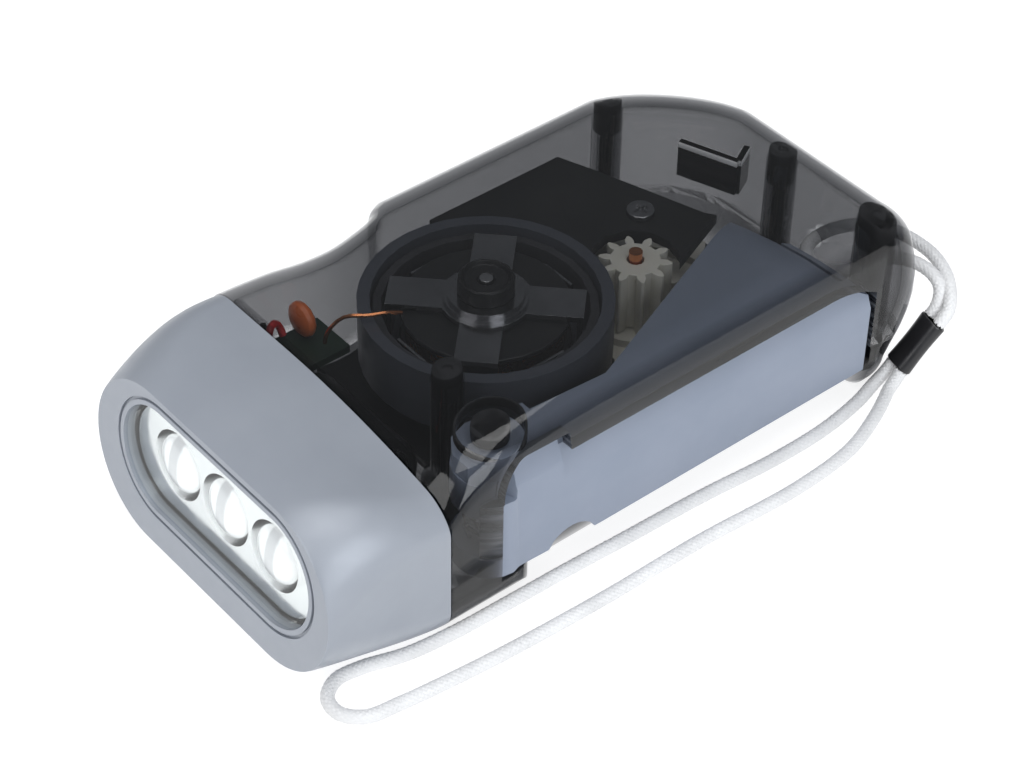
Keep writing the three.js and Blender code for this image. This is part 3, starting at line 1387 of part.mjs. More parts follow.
function buildGenerator() {
  const generator = new THREE.Group();
  generator.position.set(flywheelPlace.x, flywheelPlace.y, 0);
  torch.add(generator);
  add(generator, 'flywheel', flywheel(), black, 0, 0, cupBottom);
  add(generator, 'ring_magnet', ringMagnet(), ferrite, 0, 0, cupBottom);
  add(generator, 'claw_plate_lower', clawPlate(0, 0).mirror([0, 0, 1]), darkSteel, 0, 0,
    cupBottom + stackBottom + clawThickness);
  add(generator, 'coil_bobbin', bobbin(), black, 0, 0, cupBottom + coilBottom);
  add(generator, 'coil_winding', coil(), copper, 0, 0, cupBottom + coilBottom);
  add(generator, 'claw_plate_upper', clawPlate(Math.PI / 4, 1), darkSteel, 0, 0, plateBottom);
  add(generator, 'axle_bush', axleBush(), black, 0, 0, bushBottom);
  add(generator, 'flywheel_axle', rod(axleRadius, chassisTop, flywheelAxleTop), steel);
}

function buildGearTrain() {
  const train = new THREE.Group();
  train.position.set(gearPlace.x, gearPlace.y, 0);
  torch.add(train);
  add(train, 'drive_gear', driveGear(), cream, 0, 0, gearBottom);
  add(train, 'drive_pinion', drivePinion(), cream, 0, 0, pinionBottom + fitGap);
  add(train, 'gear_axle', rod(axleRadius, chassisTop, pinionTop + gearAxleRise), steel);
  add(torch, 'chassis', chassis(), black);
  add(torch, 'gear_cover', gearCover(), black);
  const length = coverScrewHead + coverThickness + gearThickness;
  const coverScrew = screw(hubSleeveRadius - coverScrewHead / 2, coverScrewHead, length).rotate([180, 0, 0]);
  const place = coverScrewPlace();
  add(torch, 'cover_screw', coverScrew, steel, place.x, place.y, coverTop + coverScrewHead);
}

function buildLever() {
  const swing = new THREE.Group();
  swing.position.set(pivot.x, pivot.y, 0);
  torch.add(swing);
  add(swing, 'lever', lever(), leverGrey);
  add(swing, 'lever_rack', leverRack(), cream);
  add(swing, 'pivot_pin', rod(pivotPinRadius, shellWall, hubCollarTop - fitGap), steel);
  add(swing, 'return_spring', torsionSpring(), steel);
  add(torch, 'lock_slider', lockSlider(), black, lockX, lockY);
}

function buildElectrics() {
  const frame = switchFrame();
  const corner = new THREE.Group();
  corner.position.set(frame.x, frame.y, switchHeight);
  corner.rotation.z = frame.angle;
  torch.add(corner);
  add(corner, 'switch_knob', switchKnob(), black, 0, -knobTravel / 2);
  add(corner, 'switch_body', switchBody(), black);
  const pack = new THREE.Group();
  pack.position.set(packMiddle, frontY + packStation, packHeight);
  torch.add(pack);
  for (let i = 0; i < cellCount; i += 1) {
    add(pack, `cell_${i + 1}`, cell(), steel, (i - (cellCount - 1) / 2) * cellThickness);
  }
  add(pack, 'pack_sleeve', packSleeve(), black);
  const boardX = -halfWidth + smallBoardInset;
  const boardY = frontY + smallBoardStation;
  const boardZ = switchHeight + switchBodyHeight / 2 + fitGap;
  const plate = box(-smallBoardSize / 2, smallBoardSize / 2, -smallBoardSize / 2, smallBoardSize / 2, 0, boardThickness);
  add(torch, 'rectifier_board', plate, boardGreen, boardX + smallBoardSize / 4, boardY, boardZ);
  add(torch, 'disc_capacitor', capacitor(), orange, boardX, boardY, boardZ + boardThickness + fitGap + capacitorRadius);
}

function buildWires() {
  add(torch, 'red_wire', tubeAlong(redWirePoints, wireRadius, 16, 8), red);
  add(torch, 'black_wire', tubeAlong(blackWirePoints, wireRadius, 8, 8), black);
  add(torch, 'head_wire', tubeAlong(headWirePoints, wireRadius, 10, 8), red);
  add(torch, 'coil_lead', tubeAlong(coilLeadPoints, coilLeadRadius, 14, 6), copper);
}

function buildStrap() {
  add(torch, 'strap_sleeve', strapSleeve(), black);
  add(torch, 'strap_loop', tubeAlong(strapLoopPoints, cordRadius, 54, 8), braid);
  add(torch, 'strap_eye', tubeAlong(strapEyePoints, cordRadius, 36, 8), braid);
}

console.log(`least gap between the spring's turns: ${springGap().toFixed(2)} mm`);
buildBody();
buildHead();
buildGenerator();
buildGearTrain();
buildLever();
buildElectrics();
buildWires();
buildStrap();

export default torch;
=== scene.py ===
# A squeeze-lever dynamo torch: the looks of its shells, head, lever, works and wrist strap.
# Shapes are drawn in millimetres in the part's own frame and brought to metres as they are made.

import math

import bmesh
import bpy
import numpy as np
from mathutils import Matrix, Vector


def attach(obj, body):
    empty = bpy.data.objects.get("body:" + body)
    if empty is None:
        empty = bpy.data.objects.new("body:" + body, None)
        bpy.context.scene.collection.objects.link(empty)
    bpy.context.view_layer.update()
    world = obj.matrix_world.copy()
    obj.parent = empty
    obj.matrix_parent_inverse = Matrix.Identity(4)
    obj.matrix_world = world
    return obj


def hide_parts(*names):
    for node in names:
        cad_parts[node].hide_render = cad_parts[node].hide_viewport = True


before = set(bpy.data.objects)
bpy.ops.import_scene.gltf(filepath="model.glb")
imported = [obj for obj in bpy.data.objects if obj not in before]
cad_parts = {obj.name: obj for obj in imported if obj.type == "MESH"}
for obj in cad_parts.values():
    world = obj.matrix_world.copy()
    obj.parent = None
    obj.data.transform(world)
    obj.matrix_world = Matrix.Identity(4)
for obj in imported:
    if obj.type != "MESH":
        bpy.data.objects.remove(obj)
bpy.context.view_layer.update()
scene = bpy.context.scene

METRE = 0.001

# Camera
camera_place = (0.21907, -0.18569, 0.26609)
camera_azimuth = math.radians(49.74)
camera_elevation = math.radians(41.82)
camera_roll = math.radians(1.08)
camera_lens = 97.05
sensor_width = 36
camera_near = 0.01
camera_far = 10

# Body
body_length = 104
body_width = 51.5
body_height = 30
shell_wall = 1.8
parting_height = 9.3
top_fillet = 5
bottom_fillet = 5
rear_left_radius = 18
rear_left_fillet = 8
rear_right_radius = 6.5
rear_right_belly = 2.8
belly_bottom = 5
head_depth = 20.4
waist_length = 26.4
waist_depth = 3.6
waist_shares = (
    (0, -0.25), (0.12, 0), (0.28, 0.36), (0.44, 0.8), (0.62, 1), (0.82, 0.8), (0.93, 0.54), (0.975, 0.2),
    (1.03, 0),
)
roof_drop = 3.3
shoulder_fall = 4.5
shoulder_reach = 34.75
shoulder_fade = 4
seam_gap = 0.2
collar_length = 3
collar_wall = 1.5
collar_slack = 1.5
fit_gap = 0.3
running_gap = 0.6
overrun = 1

# Lamp head
head_wall = 2
face_right = 25.4
face_left = 27.2
face_top = 25.2
face_bottom = 0
face_edge_inset = 0.3
face_edge_depth = 6
head_side_swell = 0.4
head_top_swell = 1.5
top_round_shape = 1.6
low_round_shape = 1.33
head_lean = math.radians(6)
window_width = 41.6
window_height = 16.8
window_middle = 14.5
bezel_groove_width = 0.5
bezel_groove_depth = 0.4
bezel_margin = 1.2
round_limit_share = 0.998
window_rebate = 0.8
window_thickness = 1.4
cup_pitch = 10.8
cup_radius = 5.1
cup_throat_radius = 2.9
reflector_depth = 6.5
window_front = 0.35
window_skin = 0.5
window_side = 0.4
window_gap = 0.2
reflector_lip = 2
dome_radius = 4.2
dome_rise = 1.7
dome_front = 1.05
dome_stem = 2.5
dome_band = 0.3
dome_step = 0.1
dome_taper_share = 0.85
dome_pole = 0.02

# Mouth of the lever
pivot_inset = 5.28
pivot_station = 31
lever_reach = 64.8
lever_flange_width = 6.8
lever_front_length = 8.3
hub_radius = 5.2
hub_collar_radius = 3.9
hub_collar_top = 25.6
mouth_sill = 5.2
mouth_lip = 22.3
mouth_front_lip = 25.5
mouth_rear_lip = 19.3
mouth_corner_height = 19
mouth_front_reach = 1.8
mouth_corner_length = 3.8
mouth_rear_sweep = 9

# Bosses: side and inset from its wall, end and distance from it, radius
boss_sites = (
    (-1, 3.9, 1, 16.4, 2.3), (1, 22.9, 1, 4.8, 2.3), (1, 4.2, 1, 4.5, 3), (1, 16.7, -1, 33.1, 2.3),
)
post_cover = 0.1
screw_hole_radius = 1.3
screw_hole_top = 23.3
boss_skin = 0.25
boss_core_low = 24.3
boss_cover = 0.35
boss_dimple_radius = 0.8
boss_dimple_depth = 0.5
hinge_inlays = ((4.8, 4.45), (2.6, 0))
let_in_gap = 0.03
roof_rib_sites = ((34.15, 14.4), (25.35, 11.2), (27.15, 7.8))
roof_rib_thickness = 1
roof_rib_depth = 5
switch_station = 27.4
switch_height = 14
knob_length = 4.4
knob_height = 3
knob_travel = 3
knob_proud = 0.9
knob_ridges = 3
knob_ridge = 0.45
switch_slot_length = 8
switch_slot_height = 3.6
strap_hole_radius = 1.5
strap_hole_insets = (9.15, 17.95)
strap_hole_height = 15
recess_inset = 4.75
screw_head_radius = 2.3
screw_head_height = 1.5
screw_recess = 2.2
screw_clearance = 0.4
pivot_hole_radius = 1.95
lock_inset = 8.85
lock_station = 81.2
lock_pad = (5.6, 7, 1.45)
lock_neck = (2.4, 3.6)
lock_travel = 3.5
cell_pack_radius = 8.25
cell_pack_length = 18.7
cell_pack_station = 22.8
cell_pack_height = 10.35
cell_pack_middle = -3

half_width = body_width / 2
front_y = -body_length / 2
rear_y = body_length / 2
joint_y = front_y + head_depth
shoulder_y = joint_y + waist_length
rear_arc_y = rear_y - rear_left_radius
inner_roof = body_height - shell_wall
pivot = (half_width - pivot_inset, front_y + pivot_station)
recess_x = half_width - recess_inset
lock_place = (half_width - lock_inset, front_y + lock_station)
lens_front = head_wall + fit_gap
reflector_front = lens_front + window_thickness + fit_gap
sweep_radius = lever_reach + running_gap + fit_gap
lever_room_x = half_width - lever_flange_width - running_gap
hub_clearance = hub_radius + 1.5 * fit_gap
far = 2 * body_length
boss_places = [
    (side * (half_width - inset), end * (rear_y - station), radius)
    for side, inset, end, station, radius in boss_sites
]
cup_places = [side * cup_pitch for side in (1, 0, -1)]

# Corners of a square, in shares of its half side
square = ((-1, -1), (1, -1), (1, 1), (-1, 1))

# Steps of round shapes, the least fillet by inset, and the angles of a sharp edge
round_steps = 12
corner_steps = 40
cross_steps = 24
turn_steps = 48
hole_steps = 32
pack_steps = 64
ridge_steps = 16
waist_steps = 6
side_steps = 11
wall_steps = 7
least_round_share = 0.5
solid_crease = math.radians(30)
node_crease = math.radians(32)

# Strap
cord_span_steps = 12
loop_points = [
    (25.44, 50.31, 3.16), (25.35, 49.58, 2.32), (25.35, 48.63, 1.66), (25.4, 47.55, 1.24), (25.7, 46.2, 1.1),
    (26.9, 42, 1.1), (28.1, 34, 1.1), (28.2, 24, 1.1), (27.3, 11.3, 1.1), (26.8, -3.1, 1.1), (26.4, -13, 1.1),
    (26.2, -22, 1.1), (25.9, -31, 1.1), (25, -38.5, 1.1), (23.2, -44.5, 1.1), (22.9, -48.3, 1.1),
    (24.8, -51, 1.1), (27.8, -51.3, 1.1), (30.3, -49, 1.1), (31.2, -44.5, 1.1), (31.9, -39, 1.1),
    (32.8, -29, 1.1), (33.5, -12.5, 1.1), (33.6, 5.4, 1.1), (34.4, 22.8, 1.1), (33.4, 34, 1.1), (31, 41, 1.1),
    (28.8, 45.6, 1.1), (28.1, 46.95, 1.24), (27.8, 48.05, 1.66), (27.65, 49, 2.32), (27.66, 49.73, 3.16),
]
eye_points = [
    (26.84, 55.57, 10.24), (27, 56.25, 11.2), (26.8, 57, 12.6), (26, 57.6, 14.1), (24.4, 57.6, 15.2),
    (22.2, 57.2, 15.7), (20, 56.5, 15.6), (18.2, 55.4, 15.3), (17, 53.9, 15.05), (16.6, 52.2, 15),
    (16.5, 50.2, 15), (15.9, 48.2, 15), (14.4, 46.6, 15), (12.2, 46, 15), (10, 46.6, 15), (8.5, 48.2, 15),
    (7.9, 50.2, 15), (7.8, 52.2, 15), (8.2, 54.3, 15.1), (9.4, 56.6, 15.3), (11.5, 58.6, 15.6),
    (14.8, 59.8, 15.9), (18.5, 60.2, 16.1), (22.5, 60, 15.9), (25.8, 59.2, 14.9), (28, 57.9, 13.4),
    (29.1, 56.6, 12), (29.25, 55.7, 11.2), (29.06, 54.99, 10.24),
]
sleeve_top = Vector((27.9, 55.1, 10))
sleeve_low = Vector((26.6, 50.2, 3.4))
sleeve_width = 4.6
sleeve_thickness = 2.7
sleeve_wall = 0.34
sleeve_bead = 0.12
sleeve_bevel = 0.1
sleeve_lip = 0.15
sleeve_shoulder = 0.35
sleeve_depth = 1.2
sleeve_steps = 10
sleeve_round_steps = 12
sleeve_crease = math.radians(50)
braid_carriers = 8
braid_pitch = 6.2
braid_step = 0.22
braid_middle = 0.84
braid_wave = 0.07
braid_crease = math.radians(35)
strand_width = 0.3
strand_height = 0.11
strand_sides = 6
core_radius = 0.76
core_sides = 10

# Smoke-tinted shells: what a metre of wall takes away (more in the floor, as painted shadow under the torch),
# and the tint of level and upright faces (the darker upright tint is painted shade on the inside)
smoke_density = 260
# Painted shadow: the bottom shell is denser than the top one, so the view down through it darkens as under
# the torch's shadow.
floor_shade_density = 580
smoke_colour = (0.0, 0.01, 0.03)
smoke_index = 1.5
smoke_gloss = 0.06
smoke_level_tint = (0.99, 0.99, 0.99)
# Painted shade: upright walls pass less light than level ones, to darken the inside.
smoke_upright_shade_tint = (0.7, 0.7, 0.71)
upright_limit = 0.3
level_limit = 0.8

# Looks: scales of noise, the part of it that is used, heights of relief, reach of the painted reflection
# streak on the lens
drift_scale = 90
gloss_scale = 500
grain_scale = 1800
grain_relief = 0.03
metal_drift_scale = 200
metal_gloss_scale = 400
ripple_scale = 260
ripple_relief = 0.1
noise_shares = (0.3, 0.7)
window_index = 1.45
window_colour = (0.96, 0.97, 0.97)
window_gloss = 0.03
window_ripple_scale = 400
streak_scale = 700
streak_stretch = (0.3, 0.03, 2)
lens_reflection_streak = (0.7, 1.3)

# Widths of rounded edges on carried nodes, by look
edge_width = {
    "lever": 0.35, "dark_steel": 0.22, "steel": 0.1, "wheel": 0.3, "black": 0.18, "cream": 0.12, "board": 0.1,
}
edge_segments = 2
weld_distance = 0.001

# Floor and lights, lights in metres: name, place, target, width, height, power, colour
floor_reach = 3000
floor_drop = 0.1
floor_glow = 0.8
world_colour = (0.9, 0.94, 1.0, 1)
world_strength = 0.3
lights = (
    ("top_soft", (0.1, -0.1, 0.9), (0, 0, 0), 0.7, 0.7, 4, (1, 1, 1)),
    ("side_soft", (0.8, -0.1, 0.45), (0, 0, 0.01), 0.5, 0.6, 4.2, (0.94, 0.97, 1.0)),
    ("front_soft", (0.0, -0.8, 0.5), (0, 0, 0.01), 0.6, 0.5, 2.5, (1, 1, 1)),
)


# Meshes

def link(data, name):
    obj = bpy.data.objects.new(name, data)
    scene.collection.objects.link(obj)
    return obj


def mesh_object(name, points, faces):
    mesh = bpy.data.meshes.new(name)
    mesh.from_pydata([tuple(METRE * c for c in p) for p in points], [], faces)
    mesh.validate()
    mesh.update()
    return link(mesh, name)


def shade(obj, angle):
    mesh = obj.data
    mesh.polygons.foreach_set("use_smooth", [True] * len(mesh.polygons))
    mesh.set_sharp_from_angle(angle=angle)
    mesh.update()
    return obj


def catmull(points, per_span):
    """Points of a centripetal Catmull-Rom curve through given points."""
    p = [np.array(q, float) for q in points]
    p = [2 * p[0] - p[1]] + p + [2 * p[-1] - p[-2]]
    line = []
    for i in range(1, len(p) - 2):
        a, b, c, d = p[i - 1:i + 3]
        t = [0.0]
        for u, v in ((a, b), (b, c), (c, d)):
            t.append(t[-1] + np.linalg.norm(v - u) ** 0.5)
        for k in range(per_span):
            s = t[1] + (t[2] - t[1]) * k / per_span

            def mix(u, v, i, j):
                return ((t[j] - s) * u + (s - t[i]) * v) / (t[j] - t[i])

            ab, bc, cd = mix(a, b, 0, 1), mix(b, c, 1, 2), mix(c, d, 2, 3)
            line.append(mix(mix(ab, bc, 0, 2), mix(bc, cd, 1, 3), 1, 2))
    line.append(p[-2])
    return np.array(line)


def evenly(line, step):
    along = np.concatenate([[0], np.cumsum(np.linalg.norm(np.diff(line, axis=0), axis=1))])
    at = np.linspace(0, along[-1], max(2, round(along[-1] / step) + 1))
    return np.stack([np.interp(at, along, line[:, k]) for k in range(3)], axis=1), at


def frames(line):
    """Unit side and up at each point, carried along without twist."""
    tangent = np.gradient(line, axis=0)
    tangent /= np.linalg.norm(tangent, axis=1)[:, None]
    side = np.cross(tangent[0], (0, 0, 1))
    sides = []
    for t in tangent:
        side = side - t * side.dot(t)
        side = side / np.linalg.norm(side)
        sides.append(side)
    sides = np.array(sides)
    return sides, np.cross(sides, tangent)


def bands(rings, count, start=0, closed=False):
    """Faces between rings of equal count; closed joins the last ring to the first."""
    faces = []
    for k in range(rings if closed else rings - 1):
        a, b = start + k * count, start + (k + 1) % rings * count
        for i in range(count):
            j = (i + 1) % count
            faces.append((a + i, a + j, b + j, b + i))
    return faces


def sweep(line, widths, heights, wide, high, sides, points, faces):
    """Adds an elliptical tube along a line, with its own wide and high directions at each ring."""
    start = len(points)
    for k, p in enumerate(line):
        for i in range(sides):
            a = 2 * math.pi * i / sides
            points.append(p + wide[k] * widths * math.cos(a) + high[k] * heights * math.sin(a))
    faces += bands(len(line), sides, start)
    faces.append(tuple(start + i for i in reversed(range(sides))))
    faces.append(tuple(start + (len(line) - 1) * sides + i for i in range(sides)))


# Solids

def lerp(a, b, share):
    return a + (b - a) * share


def smoothstep(value):
    value = np.clip(value, 0, 1)
    return value * value * (3 - 2 * value)


def arc(middle, radius, start, turn, steps):
    angle = start + turn * np.linspace(0, 1, steps + 1)
    return np.stack([middle[0] + radius * np.cos(angle), middle[1] + radius * np.sin(angle)], axis=1)


def circle(middle, radius, steps):
    return arc(middle, radius, 0, 2 * math.pi, steps)[:-1]


def stadium(width, height, steps):
    end = (width - height) / 2
    halves = [arc((side * end, 0), height / 2, -side * math.pi / 2, math.pi, steps) for side in (1, -1)]
    return np.concatenate(halves)


def outward(obj):
    """Turns the faces round where they point inwards."""
    form = bmesh.new()
    form.from_mesh(obj.data)
    if form.calc_volume(signed=True) < 0:
        bmesh.ops.reverse_faces(form, faces=form.faces)
        form.to_mesh(obj.data)
    form.free()
    return obj


def skin(name, rings, first_faces, last_faces, inner=()):
    """A closed skin over rings of points of equal count; the last cap may use inner points too."""
    count = len(rings[0])
    points = [p for ring in rings for p in ring] + list(inner)
    faces = list(first_faces) + bands(len(rings), count)
    start = (len(rings) - 1) * count
    faces += [tuple(start + i for i in face) for face in last_faces]
    return outward(mesh_object(name, points, faces))


def upright(u, v, w):
    return (u, v, w)


def prism(outline, low, high, place=upright):
    """An outline drawn out from low to high; place(u, v, w) gives the point."""
    count = len(outline)
    rings = [[place(u, v, w) for u, v in outline] for w in (low, high)]
    return skin("prism", rings, [tuple(reversed(range(count)))], [tuple(range(count))])


def crosswise(u, v, w):
    return (w, u, v)


def optics(u, v, w):
    """From the lens opening's leaning plane: u across, v up it, w into the head."""
    rise = (window_middle - face_bottom - face_edge_inset) * math.tan(head_lean)
    y = w * math.cos(head_lean) + v * math.sin(head_lean)
    z = v * math.cos(head_lean) - w * math.sin(head_lean)
    return (u, front_y + rise + y, window_middle + z)


def rod(radius, low, high, middle, steps=turn_steps):
    return prism(circle(middle, radius, steps), low, high)


def box(left, right, front, rear, low, high):
    return prism([(left, front), (right, front), (right, rear), (left, rear)], low, high)


def carve(obj, operation, others):
    """Works the other solids into the first, one by one; they are used up."""
    for other in others:
        modifier = obj.modifiers.new("carve", "BOOLEAN")
        modifier.operation = operation
        modifier.solver = "MANIFOLD"
        modifier.object = other
        if any(other.data.materials):
            modifier.material_mode = "TRANSFER"
        graph = bpy.context.evaluated_depsgraph_get()
        mesh = bpy.data.meshes.new_from_object(obj.evaluated_get(graph))
        obj.modifiers.clear()
        obj.data = mesh
        bpy.data.objects.remove(other)
    return obj


def cut(obj, *others):
    return carve(obj, "DIFFERENCE", others)


def join(obj, *others):
    return carve(obj, "UNION", others)


def keep(obj, *others):
    """What the first solid has in common with the others."""
    return carve(obj, "INTERSECT", others)


def finish_solid(obj, name):
    obj.name = name
    shade(obj, solid_crease)
    modifier = obj.modifiers.new("even normals", "WEIGHTED_NORMAL")
    modifier.keep_sharp = True
    return obj


# Body form

def waist_line():
    """Points of y and x along the waist's left wall, a curve through its knots."""
    knots = np.array([
        (joint_y + along * waist_length, deep * waist_depth - half_width) for along, deep in waist_shares
    ])
    ends = np.concatenate([knots[:1], knots, knots[-1:]])
    line = []
    for a, b, c, d in zip(ends, ends[1:], ends[2:], ends[3:]):
        leave, reach = (c - a) / 2, (d - b) / 2
        for t in np.arange(waist_steps) / waist_steps:
            cubic = (2 * b - 2 * c + leave + reach) * t + 3 * c - 3 * b - 2 * leave - reach
            line.append(cubic * t * t + leave * t + b)
    line.append(knots[-1])
    return np.array(line)


waist = waist_line()
rear_stations = np.linspace(waist[-1, 0], rear_arc_y, side_steps + 1)[1:]
stations = np.concatenate([[joint_y - 2 * collar_length], waist[:, 0], rear_stations])
left_wall = np.concatenate([[waist[0, 1]], waist[:, 1], np.full(side_steps, -half_width)])


def body_outline():
    """Rows of x, y, inward x, inward y, roof fillet, belly."""
    def corner(middle, radius, start, steps, fillet, belly):
        rows = []
        for k, (x, y) in enumerate(arc(middle, radius, start, math.pi / 2, steps)):
            swell = math.sin(math.pi * k / steps)
            inward = (middle[0] - x) / radius, (middle[1] - y) / radius
            rows.append((x, y, *inward, lerp(top_fillet, fillet, swell), belly * swell))
        return rows
    right = [(half_width, y, -1, 0, top_fillet, 0) for y in stations]
    left = [(x, y, 1, 0, top_fillet, 0) for x, y in zip(left_wall, stations)]
    rear_right = (half_width - rear_right_radius, rear_y - rear_right_radius)
    rear_left = (rear_left_radius - half_width, rear_arc_y)
    rows = right + corner(rear_right, rear_right_radius, 0, corner_steps // 2, top_fillet, rear_right_belly)
    rows += corner(rear_left, rear_left_radius, math.pi / 2, corner_steps, rear_left_fillet, 0)[:-1]
    return np.array(rows + left[::-1])


def shoulder_drop(x):
    return shoulder_fall * np.maximum(0, 1 - (half_width - x) / shoulder_reach) ** 2


def warped_height(x, y, z):
    above = np.maximum(0, (z - parting_height) / (body_height - parting_height))
    along = np.clip((shoulder_y - y) / waist_length, 0, 1 + collar_length / waist_length)
    share = along * along
    return z - (roof_drop * share + shoulder_drop(x) * np.minimum(1, share) ** shoulder_fade) * above


def pillow(inset):
    """The body's full form, drawn in evenly on every side."""
    x, y, in_x, in_y, fillet, belly = body_outline().T

    def ring(drawn, z):
        rise = np.clip((z - belly_bottom) / (body_height - belly_bottom), 0, 1)
        shrink = drawn - belly * np.sin(math.pi * rise)
        px, py = x + in_x * shrink, y + in_y * shrink
        return np.stack([px, py, warped_height(px, py, z)], axis=1)

    least = inset * least_round_share
    low = max(bottom_fillet - inset, least)
    high = np.maximum(fillet - inset, least)
    quarter = np.linspace(0, math.pi / 2, round_steps + 1)
    level = np.ones(len(x))
    rings = [
        ring(inset + low * (1 - math.sin(a)), level * (inset + low * (1 - math.cos(a))))
        for a in quarter
    ]
    top = body_height - inset - high
    shares = np.linspace(0, 1, wall_steps + 1)[1:-1]
    rings += [ring(level * inset, lerp(inset + low, top, share)) for share in shares]
    rings += [
        ring(inset + high * (1 - math.sin(a)), body_height - inset - high * (1 - math.cos(a)))
        for a in quarter[::-1]
    ]
    side, count = len(stations), len(x)
    inner, rungs = [], []
    for i in range(side):
        rung = [i]
        for k in range(1, cross_steps if i else 1):
            rung.append(count + len(inner))
            px, py = lerp(rings[-1][i][:2], rings[-1][count - 1 - i][:2], k / cross_steps)
            inner.append((px, py, warped_height(px, py, body_height - inset)))
        rungs.append(rung + [count - 1 - i])
    faces = [tuple(rungs[0][::-1] + rungs[1])]
    for before, rung in zip(rungs[1:], rungs[2:]):
        faces += [(before[k], rung[k], rung[k + 1], before[k + 1]) for k in range(cross_steps)]
    faces.append(tuple(list(range(side - 1, count - side + 1)) + rungs[-1][1:-1][::-1]))
    return skin("pillow", rings, [tuple(reversed(range(count)))], faces, inner)


def lever_plan():
    """The room that the lever sweeps, seen from above."""
    end = math.asin((lever_room_x - pivot[0]) / sweep_radius)
    start = math.pi / 2 - math.asin(pivot_inset * 2 / sweep_radius)
    rear = arc(pivot, sweep_radius, start, math.pi / 2 - end - start, corner_steps)
    return [(half_width + pivot_inset, pivot[1]), *rear, (lever_room_x, pivot[1])]


def mouth():
    """What is cut out of the top shell for the lever."""
    lip_start = pivot[1] + lever_front_length + running_gap
    rear_end = pivot[1] + sweep_radius
    profile = [(pivot[1] - mouth_front_reach, mouth_sill)]
    for a in np.linspace(0, math.pi / 2, corner_steps // 2):
        profile.append((pivot[1] - mouth_front_reach + mouth_corner_length * (1 - math.cos(a)),
                        mouth_corner_height + (mouth_front_lip - mouth_corner_height) * math.sin(a)))
    profile += [(lip_start, mouth_front_lip), (lip_start + overrun / 2, mouth_lip)]
    for share in np.linspace(0, 1, corner_steps // 2):
        height = mouth_lip - (mouth_lip - mouth_rear_lip) * share ** 2
        profile.append((rear_end - mouth_rear_sweep * (1 - share), height))
    profile += [(rear_end + overrun, mouth_rear_lip), (rear_end + overrun, mouth_sill)]
    opening = prism(profile, pivot[0] - hub_radius * 2, half_width + overrun, crosswise)
    plan = prism(lever_plan(), mouth_sill, mouth_front_lip)
    plan = join(plan, rod(hub_clearance, mouth_sill - overrun, mouth_front_lip + overrun, pivot))
    return join(keep(opening, plan), rod(hub_clearance, mouth_sill, mouth_corner_height, pivot))


def coat(obj, look):
    """Gives a form one material alone."""
    obj.data.materials.clear()
    obj.data.materials.append(looks[look])
    return obj


def behind_joint():
    return box(-far, far, joint_y + seam_gap, far, -far, far)


def collar():
    outset = head_wall + collar_slack
    rear = joint_y + shell_wall + seam_gap
    neck = cut(pillow(outset), pillow(outset + collar_wall))
    neck = keep(neck, box(-far, far, joint_y - collar_length, rear, -far, far))
    bridge = cut(pillow(overrun / 2), pillow(outset + collar_wall))
    return join(neck, keep(bridge, box(-far, far, joint_y + seam_gap, rear, -far, far)))


def roof_rib(half_thickness):
    """The black angled rib that hangs from the roof."""
    ribs = [np.array((half_width - inset, rear_y - station)) for inset, station in roof_rib_sites]
    legs = []
    for start, end in zip(ribs, ribs[1:]):
        along = (end - start) / np.linalg.norm(end - start)
        side = np.array((-along[1], along[0])) * half_thickness
        corners = [end + side, start + side, start - side, end - side]
        legs.append(prism(corners, inner_roof - roof_rib_depth, inner_roof + shell_wall / 2))
    return join(*legs)


def boss_core(x, y, radius):
    """The dark head of a screw boss, up to just under the roof's outside."""
    return keep(rod(radius, boss_core_low, body_height, (x, y)), pillow(boss_cover))


def boss_cap(x, y, radius):
    core = boss_core(x, y, radius)
    top = max(v.co.z for v in core.data.vertices) / METRE
    return cut(core, rod(boss_dimple_radius, top - boss_dimple_depth, top + overrun, (x, y)))


def hinge_inlay(radius, hollow):
    """A ring or disc let into the roof over the hinge."""
    low = hub_collar_top + 2 * fit_gap
    inlay = keep(rod(radius, low, body_height, pivot), pillow(boss_cover))
    return cut(inlay, rod(hollow, low - overrun, far, pivot)) if hollow else inlay


def switch_frame():
    """Where the switch sits on the waist, with the ways along the wall and out of it."""
    y = front_y + switch_station
    k = int(np.searchsorted(waist[:, 0], y))
    (ay, ax), (by, bx) = waist[k - 1], waist[k]
    turn = -math.atan2(bx - ax, by - ay)
    middle = np.array((lerp(ax, bx, (y - ay) / (by - ay)), y))
    return middle, np.array((-math.sin(turn), math.cos(turn))), np.array((-math.cos(turn), -math.sin(turn)))


def switch_block(depth, length, height, shift=0):
    """A block across the waist's wall at the switch, shifted rearwards along it."""
    middle, along, out = switch_frame()
    corners = [middle + along * (shift + a * length / 2) + out * b * depth / 2 for a, b in square]
    return prism(corners, switch_height - height / 2, switch_height + height / 2)


def switch_slot():
    return switch_block(4 * shell_wall, switch_slot_length, switch_slot_height)


def switch_knob():
    """The ridged thumb piece of the switch, at the front end of its slot."""
    knob = switch_block(2 * knob_proud + shell_wall, knob_length, knob_height, -knob_travel / 2)
    middle, along, out = switch_frame()
    for k in range(knob_ridges):
        offset = (k - (knob_ridges - 1) / 2) * knob_length / (knob_ridges + 1) - knob_travel / 2
        place = middle + out * (knob_proud + shell_wall / 2) + along * offset
        knob = cut(knob, rod(knob_ridge, 0, body_height, place, ridge_steps))
    return knob


